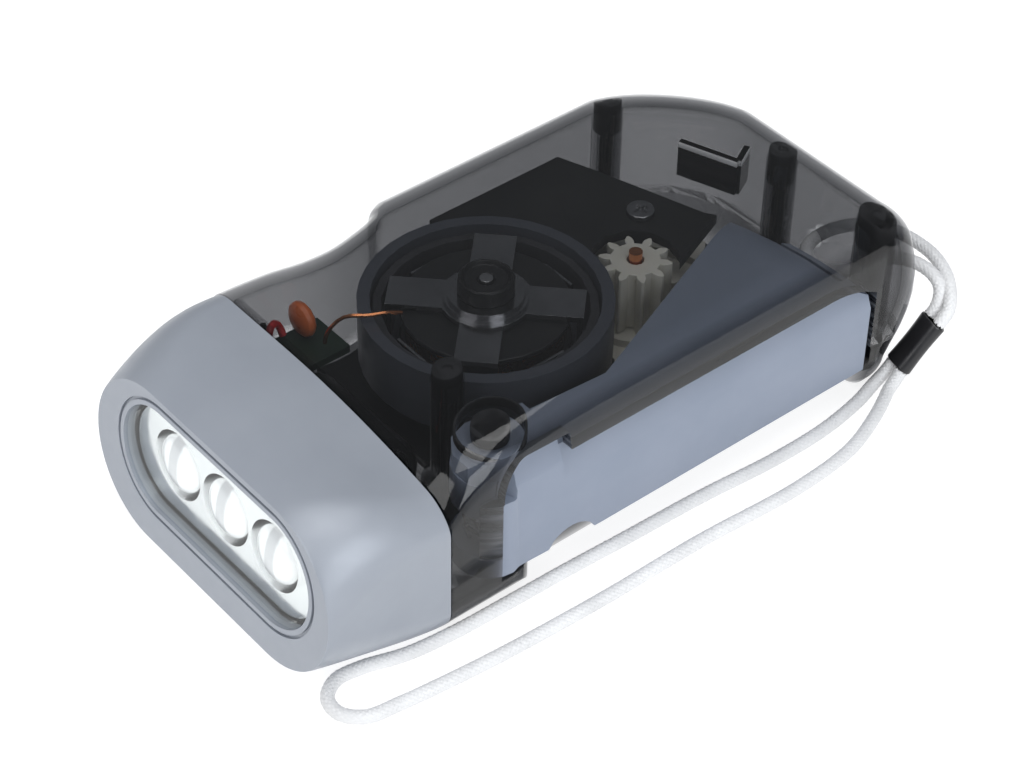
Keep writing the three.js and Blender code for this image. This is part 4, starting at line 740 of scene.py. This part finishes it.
def top_shell():
    shell = keep(cut(pillow(0), pillow(shell_wall)), behind_joint())
    shell = keep(join(shell, collar()), box(-far, far, -far, far, parting_height, far))
    for x, y, radius in boss_places:
        shell = join(shell, keep(rod(radius, parting_height, body_height, (x, y)), pillow(post_cover)))
    shell = cut(coat(shell, "smoke"), coat(mouth(), "edge"), switch_slot(), roof_rib(roof_rib_thickness / 2))
    for x, y, radius in boss_places:
        core = coat(boss_core(x, y, radius - boss_skin), "smoke")
        shell = cut(shell, core, rod(screw_hole_radius, parting_height - overrun, screw_hole_top, (x, y)))
    for radius, hollow in hinge_inlays:
        shell = cut(shell, coat(hinge_inlay(radius, hollow), "smoke"))
    shell = cut(shell, rod(hub_collar_radius + fit_gap, mouth_corner_height, hub_collar_top + fit_gap, pivot))
    for inset in strap_hole_insets:
        hole = circle((half_width - inset, strap_hole_height), strap_hole_radius, hole_steps)
        shell = cut(shell, prism(hole, rear_y - 2 * shell_wall, far, lambda u, v, w: (u, w, v)))
    return shell


def lower_recess(grow, ear_radius):
    """The room beside the lower shell for the lever, less the ear under the hinge."""
    rear = pivot[1] + sweep_radius + grow
    recess = box(recess_x - grow, far, pivot[1] - grow, rear, -far, parting_height + grow)
    return cut(recess, rod(ear_radius, -far, far, pivot)) if ear_radius else recess


def lock_slot():
    """The stepped slot in the floor that the lock's pad and neck slide in."""
    x, y = lock_place
    slots = []
    for width, length, low, high in (
        (*lock_pad[:2], -overrun, lock_pad[2]), (*lock_neck, 0, shell_wall + overrun),
    ):
        side = width / 2 + fit_gap
        front = y - length / 2 - fit_gap
        slots.append(box(x - side, x + side, front, front + length + lock_travel + 2 * fit_gap, low, high))
    return join(*slots)


def bottom_shell():
    shell = cut(pillow(0), lower_recess(0, hub_radius))
    shell = cut(shell, cut(pillow(shell_wall), lower_recess(shell_wall, 0)))
    shell = join(keep(shell, behind_joint()), collar())
    shell = keep(shell, box(-far, far, -far, far, -far, parting_height))
    for x, y, _ in boss_places:
        post = rod(screw_head_radius + screw_clearance + shell_wall / 2, 0, parting_height, (x, y))
        inside = cut(pillow(post_cover), lower_recess(0, hub_radius))
        shell = join(shell, keep(post, inside))
    pack_y = front_y + cell_pack_station
    for x in (cell_pack_middle - cell_pack_length / 3, cell_pack_middle + cell_pack_length / 3):
        rib = box(x - shell_wall / 2, x + shell_wall / 2, joint_y + shell_wall, pack_y + cell_pack_radius,
                  shell_wall / 2, 2 * shell_wall)
        shell = join(shell, rib)
    outline = circle((pack_y, cell_pack_height), cell_pack_radius, pack_steps)
    half = cell_pack_length / 2
    pack = prism(outline, cell_pack_middle - half, cell_pack_middle + half, crosswise)
    shell = cut(shell, pack, prism(lever_plan(), mouth_sill, far))
    shell = cut(shell, rod(hub_clearance, mouth_sill, far, pivot))
    for x, y, _ in boss_places:
        head = rod(screw_head_radius + screw_clearance, -overrun, screw_recess + screw_head_height, (x, y))
        shell = cut(shell, head, rod(screw_hole_radius, 0, far, (x, y)))
    return cut(shell, lock_slot(), rod(pivot_hole_radius, shell_wall, parting_height, pivot))


# Lamp head

def head_ring(depth, inset, steps):
    share = depth / head_depth
    blend = smoothstep(share)
    edge = max(0, 1 - depth / face_edge_depth)
    shrink = inset + face_edge_inset * (1 - math.sqrt(1 - edge * edge))
    roof_at_joint = body_height - roof_drop
    swell = math.sin(math.pi * min(1, share))
    top = lerp(face_top, roof_at_joint, share * share) + head_top_swell * swell - shrink
    bottom = lerp(face_bottom, 0, blend) + shrink
    right = lerp(face_right, half_width, blend) - shrink
    left = shrink - lerp(face_left, -left_wall[0], blend) - head_side_swell * swell
    half = (top - bottom) / 2
    ahead = max(0, 1 - share)
    high = lerp(max(top_fillet - shrink, overrun), round_limit_share * half, ahead ** top_round_shape)
    low = lerp(max(bottom_fillet - shrink, overrun), round_limit_share * half, ahead ** low_round_shape)
    quarter = math.pi / 2
    roof = [(lerp(right - high, left + high, k / cross_steps), top) for k in range(1, cross_steps)]
    flat = np.concatenate([
        arc((right - low, bottom + low), low, -quarter, quarter, steps),
        arc((right - high, top - high), high, 0, quarter, steps), roof,
        arc((left + high, top - high), high, quarter, quarter, steps),
        arc((left + low, bottom + low), low, 2 * quarter, quarter, steps),
    ])
    x, z = flat.T
    above = np.maximum(0, (z - parting_height) / (roof_at_joint - parting_height))
    lean = math.tan(head_lean) * (1 - min(1, share))
    y = front_y + depth + np.maximum(z - face_bottom - face_edge_inset, 0) * lean
    return np.stack([x, y, z - shoulder_drop(x) * above * blend], axis=1)


def head_form(inset, start, end):
    quarter = np.linspace(0, math.pi / 2, round_steps)[:-1]
    depths = [lerp(start, face_edge_depth, 1 - math.cos(a)) for a in quarter]
    depths += list(np.linspace(face_edge_depth, end, 2 * round_steps))
    rings = [head_ring(depth, inset, corner_steps // 2) for depth in depths]
    count = len(rings[0])
    return skin("head_form", rings, [tuple(reversed(range(count)))], [tuple(range(count))])


def optics_plate(inset, low, high):
    outline = stadium(window_width - 2 * inset, window_height - 2 * inset, corner_steps)
    return prism(outline, low, high, optics)


def head_cap():
    """The grey cap with the lamp's opening and the groove round it."""
    shell = cut(head_form(0, 0, head_depth), head_form(head_wall, head_wall, head_depth + overrun))
    groove = optics_plate(-bezel_margin, -overrun, bezel_groove_depth)
    groove = cut(groove, optics_plate(bezel_groove_width - bezel_margin, -2 * overrun, 2 * overrun))
    return cut(shell, optics_plate(0, -2 * overrun, head_wall + 2 * overrun), groove)


def lens_window():
    """A clear tray: a thin front, sides round the reflector, and a flange behind the head's wall."""
    back = lens_front + window_thickness
    tray = optics_plate(window_gap, window_front, back)
    tray = join(tray, optics_plate(-window_rebate, lens_front, back))
    return cut(tray, optics_plate(window_gap + window_side, window_front + window_skin, back + overrun))


def turned(profile, middle):
    """A solid turned about the line through middle across the lens opening; rows are radius and depth."""
    rings = []
    for radius, depth in profile:
        ring = circle((0, 0), radius, turn_steps)
        rings.append([optics(middle + x, z, depth) for x, z in ring])
    return skin("turned", rings, [tuple(reversed(range(turn_steps)))], [tuple(range(turn_steps))])


def reflector():
    back = reflector_front + reflector_depth
    flange = optics_plate(-window_rebate / 2, reflector_front, reflector_front + shell_wall / 2)
    body = join(optics_plate(window_side + 2 * window_gap, reflector_lip, back), flange)
    profile = [(cup_radius, reflector_lip - overrun)]
    for share in np.linspace(0, 1, round_steps + 1):
        radius = lerp(cup_throat_radius, cup_radius, math.sqrt(1 - share))
        profile.append((radius, lerp(reflector_lip, back, share)))
    profile.append((cup_throat_radius, back + overrun))
    return cut(body, *(turned(profile, middle) for middle in cup_places))


def lens_dome(middle):
    """A diode's wide collar lens, its crown close behind the window."""
    profile = []
    for a in np.linspace(math.pi / 2 - dome_pole, 0, round_steps + 1):
        profile.append((dome_radius * math.cos(a), dome_front + dome_rise * (1 - math.sin(a))))
    profile += [
        (dome_radius - dome_step, dome_front + dome_rise + dome_band),
        (dome_stem + dome_step, reflector_front + dome_taper_share * reflector_depth),
        (dome_stem, reflector_front + reflector_depth - dome_step),
    ]
    return turned(profile, middle)


# Pieces of the record

def add_piece(obj, look, body="body", node=None):
    """Gives a piece its body and the node it stands for, and a look unless it has one."""
    if not any(obj.data.materials):
        coat(obj, look)
    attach(obj, body)
    if node:
        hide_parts(node)
    return obj


# Braid

def braided(name, route):
    """A plain braid over a dark core, painted shade between the strands, along a cord's route, and the line
    it follows.
    """
    line, along = evenly(catmull(route, cord_span_steps), braid_step)
    side, up = frames(line)
    points, faces = [], []
    sweep(line, core_radius, core_radius, side, up, core_sides, points, faces)
    for turn in (1, -1):
        for carrier in range(braid_carriers):
            angle = turn * 2 * math.pi * along / braid_pitch + 2 * math.pi * carrier / braid_carriers
            wave = np.cos(2 * math.pi * along * braid_carriers / braid_pitch)
            radius = braid_middle + turn * braid_wave * wave
            out = side * np.cos(angle)[:, None] + up * np.sin(angle)[:, None]
            strand = line + out * radius[:, None]
            way = np.gradient(strand, axis=0)
            across = np.cross(way, out)
            across /= np.linalg.norm(across, axis=1)[:, None]
            sweep(strand, strand_width, strand_height, across, out, strand_sides, points, faces)
    obj = shade(mesh_object(name + "_braid", points, faces), braid_crease)
    core_faces = core_sides * (len(line) - 1) + 2
    strands = [int(k >= core_faces) for k in range(len(faces))]
    # The core takes a dark grey look, so gaps between the strands show as painted shade.
    for look in ("braid_core_shade", "braid"):
        obj.data.materials.append(looks[look])
    obj.data.polygons.foreach_set("material_index", strands)
    return add_piece(obj, "braid", node=name), line


# Camera

def place_camera():
    data = bpy.data.cameras.new("camera")
    data.lens = camera_lens
    data.sensor_width = sensor_width
    data.clip_start = camera_near
    data.clip_end = camera_far
    camera = link(data, "camera")
    a, e = camera_azimuth, camera_elevation
    back = Vector((math.sin(a) * math.cos(e), -math.cos(a) * math.cos(e), math.sin(e)))
    right = Vector((math.cos(a), math.sin(a), 0))
    up = back.cross(right)
    turned_right = right * math.cos(camera_roll) + up * math.sin(camera_roll)
    turned_up = up * math.cos(camera_roll) - right * math.sin(camera_roll)
    matrix = Matrix((turned_right, turned_up, back)).transposed().to_4x4()
    matrix.translation = camera_place
    camera.matrix_world = matrix
    scene.camera = camera


# Materials

class Shader:
    """A node material under construction."""

    def __init__(self, name):
        self.material = bpy.data.materials.new(name)
        self.material.use_nodes = True
        self.tree = self.material.node_tree
        self.tree.nodes.clear()
        self.out = self.node("OutputMaterial")
        self.coordinates = self.node("TexCoord").outputs["Object"]

    def feed(self, socket, value):
        """Gives a socket another node's output, a colour or a plain value."""
        if isinstance(value, bpy.types.NodeSocket):
            self.tree.links.new(value, socket)
        elif socket.type == "RGBA":
            socket.default_value = (*value, 1)
        else:
            socket.default_value = value

    def node(self, kind, **values):
        """A node whose named sockets are fed; an underscore stands for a space."""
        node = self.tree.nodes.new("ShaderNode" + kind)
        for key, value in values.items():
            self.feed(node.inputs[key.replace("_", " ")], value)
        return node

    def maths(self, operation, *terms):
        node = self.node("Math")
        node.operation = operation
        for socket, term in zip(node.inputs, terms):
            self.feed(socket, term)
        return node.outputs["Value"]

    def noise(self, scale, detail, stretch=None):
        source = self.coordinates
        if stretch:
            source = self.node("Mapping", Vector=source, Scale=stretch).outputs["Vector"]
        return self.node("TexNoise", Vector=source, Scale=scale, Detail=detail, Roughness=0.5).outputs["Fac"]

    def ramp(self, source, low, high, low_at=0.35, high_at=0.65):
        node = self.node("ValToRGB", Fac=source)
        first, last = node.color_ramp.elements
        first.position, first.color = low_at, (*low, 1)
        last.position, last.color = high_at, (*high, 1)
        return node.outputs["Color"]

    def span(self, source, low, high):
        """Spreads the middle of a noise over low to high."""
        least, most = noise_shares
        node = self.node("MapRange", Value=source, From_Min=least, From_Max=most, To_Min=low, To_Max=high)
        return node.outputs["Result"]

    def bump(self, source, strength, distance):
        return self.node("Bump", Height=source, Strength=strength, Distance=distance).outputs["Normal"]

    def principled(self, **values):
        return self.done(self.node("BsdfPrincipled", **values).outputs["BSDF"])

    def done(self, surface):
        self.feed(self.out.inputs["Surface"], surface)
        return self.material


def moulded(name, low, high, rough, grain=grain_scale, bump=0.12, **values):
    """Moulded plastic: faint colour drift, fine grain, uneven gloss."""
    s = Shader(name)
    return s.principled(
        Base_Color=s.ramp(s.noise(drift_scale, 4), low, high),
        Roughness=s.span(s.noise(gloss_scale, 3), *rough),
        Normal=s.bump(s.noise(grain, 2), bump, grain_relief * METRE), **values,
    )


def metal(name, low, high, rough):
    """Bare metal with uneven colour and gloss."""
    s = Shader(name)
    colour = s.ramp(s.noise(metal_drift_scale, 4), low, high)
    gloss = s.span(s.noise(metal_gloss_scale, 2), *rough)
    return s.principled(Base_Color=colour, Roughness=gloss, Metallic=1)


def wall_tint_with_painted_shade(s):
    """The tint of a shell's level faces, which deepens to that of its upright ones: painted shade, as upright
    walls let less light through to the inside.
    """
    normal = s.node("NewGeometry").outputs["Normal"]
    level = s.maths("ABSOLUTE", s.node("SeparateXYZ", Vector=normal).outputs["Z"])
    return s.ramp(level, smoke_upright_shade_tint, smoke_level_tint, upright_limit, level_limit)


def glazing(s, index, colour, roughness, normal):
    """A clear surface: what doesn't glint on its outer side passes straight on."""
    fresnel = s.node("Fresnel", IOR=index, Normal=normal).outputs["Fac"]
    outer = s.maths("SUBTRACT", 1, s.node("NewGeometry").outputs["Backfacing"])
    clear = s.node("BsdfTransparent", Color=colour)
    gloss = s.node("BsdfGlossy", Roughness=roughness, Normal=normal)
    mix = s.node("MixShader")
    for socket, source in zip(mix.inputs, (
        s.maths("MULTIPLY", fresnel, outer), clear.outputs["BSDF"], gloss.outputs["BSDF"],
    )):
        s.feed(socket, source)
    return mix.outputs["Shader"]


def smoke(name, density):
    """Smoke-tinted clear plastic: what passes darkens with the way through the wall."""
    s = Shader(name)
    ripple = s.bump(s.noise(ripple_scale, 2), 0.05, ripple_relief * METRE)
    absorb = s.node("VolumeAbsorption", Color=smoke_colour, Density=density)
    s.feed(s.out.inputs["Volume"], absorb.outputs["Volume"])
    return s.done(glazing(s, smoke_index, wall_tint_with_painted_shade(s), smoke_gloss, ripple))


def smoke_edge():
    """The cut rim of the lever's mouth: nearly black, with fine drawn streaks."""
    s = Shader("smoke_edge")
    streaks = s.noise(streak_scale, 2, streak_stretch)
    return s.principled(
        Base_Color=s.ramp(streaks, (0.01, 0.011, 0.014), (0.13, 0.14, 0.16), 0.4, 0.7), Roughness=0.2,
    )


def lens_look_with_painted_light():
    """White diode lens with a painted grey reflection streak down it and a faint painted glow, though the
    diode is not lit.
    """
    s = Shader("diode_lens_painted_light")
    across = s.node("SeparateXYZ", Vector=s.coordinates).outputs["X"]
    turn = s.maths("PINGPONG", across, cup_pitch * METRE / 2)
    # Painted reflection: a grey band down each lens stands in for a reflection in it.
    near, away = lens_reflection_streak
    band = s.node("MapRange", Value=turn, From_Min=near * METRE, From_Max=away * METRE)
    return s.principled(
        Base_Color=s.ramp(band.outputs["Result"], (0.5, 0.51, 0.53), (0.97, 0.98, 0.98), 0.1, 0.9),
        Roughness=s.span(s.noise(300, 2), 0.05, 0.12), Coat_Weight=1, Coat_Roughness=0.03,
        # Painted glow: the unlit lens gives off a little light to stay bright in the head's shade.
        Emission_Color=(1, 1, 1), Emission_Strength=0.3,
    )


def clear_window():
    s = Shader("clear_window")
    ripple = s.bump(s.noise(window_ripple_scale, 2), 0.08, ripple_relief * METRE)
    return s.done(glazing(s, window_index, window_colour, window_gloss, ripple))


looks = {
    "smoke": smoke("smoke_clear", smoke_density),
    # A denser copy of the same smoke plastic, as painted shadow under the torch.
    "smoke_floor_shaded": smoke("smoke_floor_shaded", floor_shade_density),
    "edge": smoke_edge(),
    "window": clear_window(),
    "lens": lens_look_with_painted_light(),
    "silver": moulded("silver_satin", (0.29, 0.313, 0.355), (0.31, 0.333, 0.375), (0.32, 0.42), 2600, 0.1,
                      Metallic=0.1),
    "lever": moulded("lever_lavender", (0.22, 0.255, 0.325), (0.24, 0.273, 0.345), (0.36, 0.46)),
    "black": moulded("black_moulded", (0.006, 0.006, 0.007), (0.012, 0.012, 0.013), (0.35, 0.5), bump=0.04),
    "wheel": moulded("flywheel_grey", (0.06, 0.066, 0.082), (0.075, 0.082, 0.1), (0.35, 0.45)),
    "cream": moulded("cream_nylon", (0.68, 0.66, 0.58), (0.76, 0.74, 0.66), (0.4, 0.5),
                     Subsurface_Weight=0.2, Subsurface_Radius=(0.002, 0.002, 0.0015)),
    "board": moulded("board_green", (0.006, 0.016, 0.01), (0.012, 0.03, 0.018), (0.3, 0.45)),
    "gloss_black": moulded("boss_black", (0.004, 0.004, 0.005), (0.009, 0.009, 0.01), (0.12, 0.2), bump=0.03),
    # Painted shade: the braid's core is dark grey so the gaps between strands look shaded.
    "braid_core_shade": moulded("braid_core_shade", (0.16, 0.16, 0.165), (0.22, 0.22, 0.225), (0.6, 0.7)),
    "ferrite": moulded("ferrite_grey", (0.02, 0.02, 0.024), (0.04, 0.04, 0.046), (0.6, 0.8), bump=0.4),
    "orange": moulded("orange_dip", (0.55, 0.12, 0.03), (0.68, 0.17, 0.05), (0.25, 0.35)),
    "red": moulded("red_insulation", (0.4, 0.01, 0.015), (0.5, 0.02, 0.02), (0.35, 0.45)),
    "braid": moulded("white_braid", (0.66, 0.66, 0.665), (0.78, 0.78, 0.785), (0.35, 0.5), 4000,
                     Sheen_Weight=0.3),
    "rubber": moulded("black_sleeve", (0.008, 0.008, 0.009), (0.014, 0.014, 0.016), (0.28, 0.42)),
    "mirror": metal("mirror_coat", (0.86, 0.87, 0.88), (0.92, 0.93, 0.93), (0.1, 0.2)),
    "dark_steel": metal("dark_steel", (0.34, 0.34, 0.35), (0.42, 0.42, 0.43), (0.14, 0.2)),
    "steel": metal("bright_steel", (0.45, 0.45, 0.46), (0.6, 0.6, 0.6), (0.15, 0.3)),
    "copper": metal("enamel_copper", (0.6, 0.22, 0.09), (0.75, 0.3, 0.13), (0.15, 0.3)),
}


def weld():
    """A node group that joins a carried node's split faces and smooths all but its sharp edges."""
    group = bpy.data.node_groups.new("weld_and_smooth", "GeometryNodeTree")
    for way in ("INPUT", "OUTPUT"):
        group.interface.new_socket("Geometry", in_out=way, socket_type="NodeSocketGeometry")
    add = group.nodes.new
    start, end = add("NodeGroupInput"), add("NodeGroupOutput")
    merge = add("GeometryNodeMergeByDistance")
    merge.inputs["Distance"].default_value = weld_distance * METRE
    drop = add("GeometryNodeRemoveAttribute")
    drop.inputs["Name"].default_value = "custom_normal"
    faces = add("GeometryNodeSetShadeSmooth")
    edges = add("GeometryNodeSetShadeSmooth")
    edges.domain = "EDGE"
    edges.inputs["Shade Smooth"].default_value = False
    angle = add("GeometryNodeInputMeshEdgeAngle")
    compare = add("FunctionNodeCompare")
    compare.data_type = "FLOAT"
    compare.operation = "GREATER_THAN"
    compare.inputs["B"].default_value = node_crease
    chain = start, drop, merge, faces, edges, end
    for before, after in zip(chain, chain[1:]):
        group.links.new(before.outputs["Geometry"], after.inputs["Geometry"])
    group.links.new(angle.outputs["Unsigned Angle"], compare.inputs["A"])
    group.links.new(compare.outputs["Result"], edges.inputs["Selection"])
    return group


weld_group = weld()


def dress(name, look):
    """Gives a carried CAD node its material, smooth shading and rounded edges."""
    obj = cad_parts[name]
    for slot in obj.material_slots:
        slot.material = looks[look]
    modifier = obj.modifiers.new("smooth", "NODES")
    modifier.node_group = weld_group
    if look in edge_width:
        bevel = obj.modifiers.new("soft edges", "BEVEL")
        bevel.width = edge_width[look] * METRE
        bevel.segments = edge_segments
        bevel.limit_method = "ANGLE"
        bevel.angle_limit = node_crease
        bevel.harden_normals = True


node_looks = {
    "lever": "lever",
    "wheel": "flywheel",
    "ferrite": "ring_magnet",
    "dark_steel": "claw_plate_lower claw_plate_upper cover_screw pivot_pin",
    "steel": "flywheel_axle return_spring cell_1 cell_2 cell_3",
    "copper": "coil_winding gear_axle coil_lead",
    "cream": "drive_gear drive_pinion lever_rack",
    "board": "led_board rectifier_board",
    "orange": "disc_capacitor",
    "red": "red_wire head_wire",
    "black": "coil_bobbin axle_bush chassis gear_cover lock_slider switch_body pack_sleeve black_wire "
             "shell_screw_rear_left shell_screw_rear_middle shell_screw_rear_right shell_screw_front",
}


def dress_nodes():
    for look, names in node_looks.items():
        for name in names.split():
            dress(name, look)


# Strap

def strap_sleeve():
    """A short flat rubber tube over both runs of the cord, a little waisted, open at its ends."""
    axis = sleeve_top - sleeve_low
    length = axis.length
    axis.normalize()
    across = Vector((axis.y, -axis.x, 0)).normalized()
    face = axis.cross(across)
    middle = []
    for share in np.linspace(0, 1, sleeve_steps + 1):
        height = lerp(sleeve_shoulder, length - sleeve_shoulder, share)
        middle.append((height, sleeve_bead * math.sin(math.pi * share)))
    rings = [
        (0, sleeve_wall), (0, sleeve_bevel), (sleeve_lip, 0), *middle,
        (length - sleeve_lip, 0), (length, sleeve_bevel), (length, sleeve_wall),
        (length - sleeve_depth, sleeve_wall), (sleeve_depth, sleeve_wall),
    ]
    points = []
    for height, inset in rings:
        for u, v in stadium(sleeve_width - 2 * inset, sleeve_thickness - 2 * inset, sleeve_round_steps):
            points.append(sleeve_low + axis * height + across * u + face * v)
    faces = bands(len(rings), len(points) // len(rings), closed=True)
    return shade(mesh_object("strap_sleeve_tube", points, faces), sleeve_crease)


def build_strap():
    sleeve = add_piece(strap_sleeve(), "rubber", node="strap_sleeve")
    loop, loop_line = braided("strap_loop", loop_points)
    eye, eye_line = braided("strap_eye", eye_points)


# Floor and lights

def stage_floor():
    corners = [(a * floor_reach, b * floor_reach, -floor_drop) for a, b in square]
    floor = mesh_object("floor", corners, [(0, 1, 2, 3)])
    s = Shader("floor_white")
    s.principled(Base_Color=s.ramp(s.noise(3, 2), (0.4, 0.4, 0.4), (0.42, 0.42, 0.42)), Roughness=0.9,
                 Emission_Color=(1, 1, 1), Emission_Strength=floor_glow)
    floor.data.materials.append(s.material)


def area_light(name, place, target, width, height, power, colour):
    data = bpy.data.lights.new(name, "AREA")
    data.shape = "RECTANGLE"
    data.size, data.size_y = width, height
    data.energy = power
    data.color = colour
    light = link(data, name)
    light.location = place
    light.rotation_mode = "QUATERNION"
    light.rotation_quaternion = (Vector(target) - Vector(place)).to_track_quat("-Z", "Y")


def light_scene():
    world = bpy.data.worlds.new("studio")
    scene.world = world
    world.use_nodes = True
    background = world.node_tree.nodes["Background"]
    background.inputs["Color"].default_value = world_colour
    background.inputs["Strength"].default_value = world_strength
    for light in lights:
        area_light(*light)
    scene.view_settings.view_transform = "Standard"


def fill_in(solid, name):
    """A black part of the top shell, let into it."""
    add_piece(finish_solid(solid, name), "gloss_black")


def build_shells():
    for name, make, look, slot, body in (
        ("top_shell", top_shell, "smoke", "smoke_plastic", "body"),
        ("bottom_shell", bottom_shell, "smoke_floor_shaded", "smoke_plastic", "body"),
        ("head_cap", head_cap, "silver", "silver_plastic", "body"),
        ("lens_window", lens_window, "window", "clear_plastic", "body"),
        ("reflector", reflector, "mirror", "metallised_plastic", "body"),
        ("switch_knob", switch_knob, "black", "black_plastic", "switch"),
    ):
        add_piece(finish_solid(make(), name + "_fine"), look, body, name)
    for k, (x, y, radius) in enumerate(boss_places):
        fill_in(boss_cap(x, y, radius - boss_skin - let_in_gap), "boss_core_%d" % k)
    fill_in(roof_rib(roof_rib_thickness / 2 - let_in_gap), "roof_rib")
    for k, (radius, hollow) in enumerate(hinge_inlays):
        inner = hollow + let_in_gap if hollow else 0
        fill_in(hinge_inlay(radius - let_in_gap, inner), "hinge_inlay_%d" % k)
    for name, middle in zip(("right", "middle", "left"), cup_places):
        dome = finish_solid(lens_dome(middle), "lens_dome_" + name)
        add_piece(dome, "lens", node="led_" + name)


place_camera()
build_shells()
build_strap()
stage_floor()
light_scene()
dress_nodes()
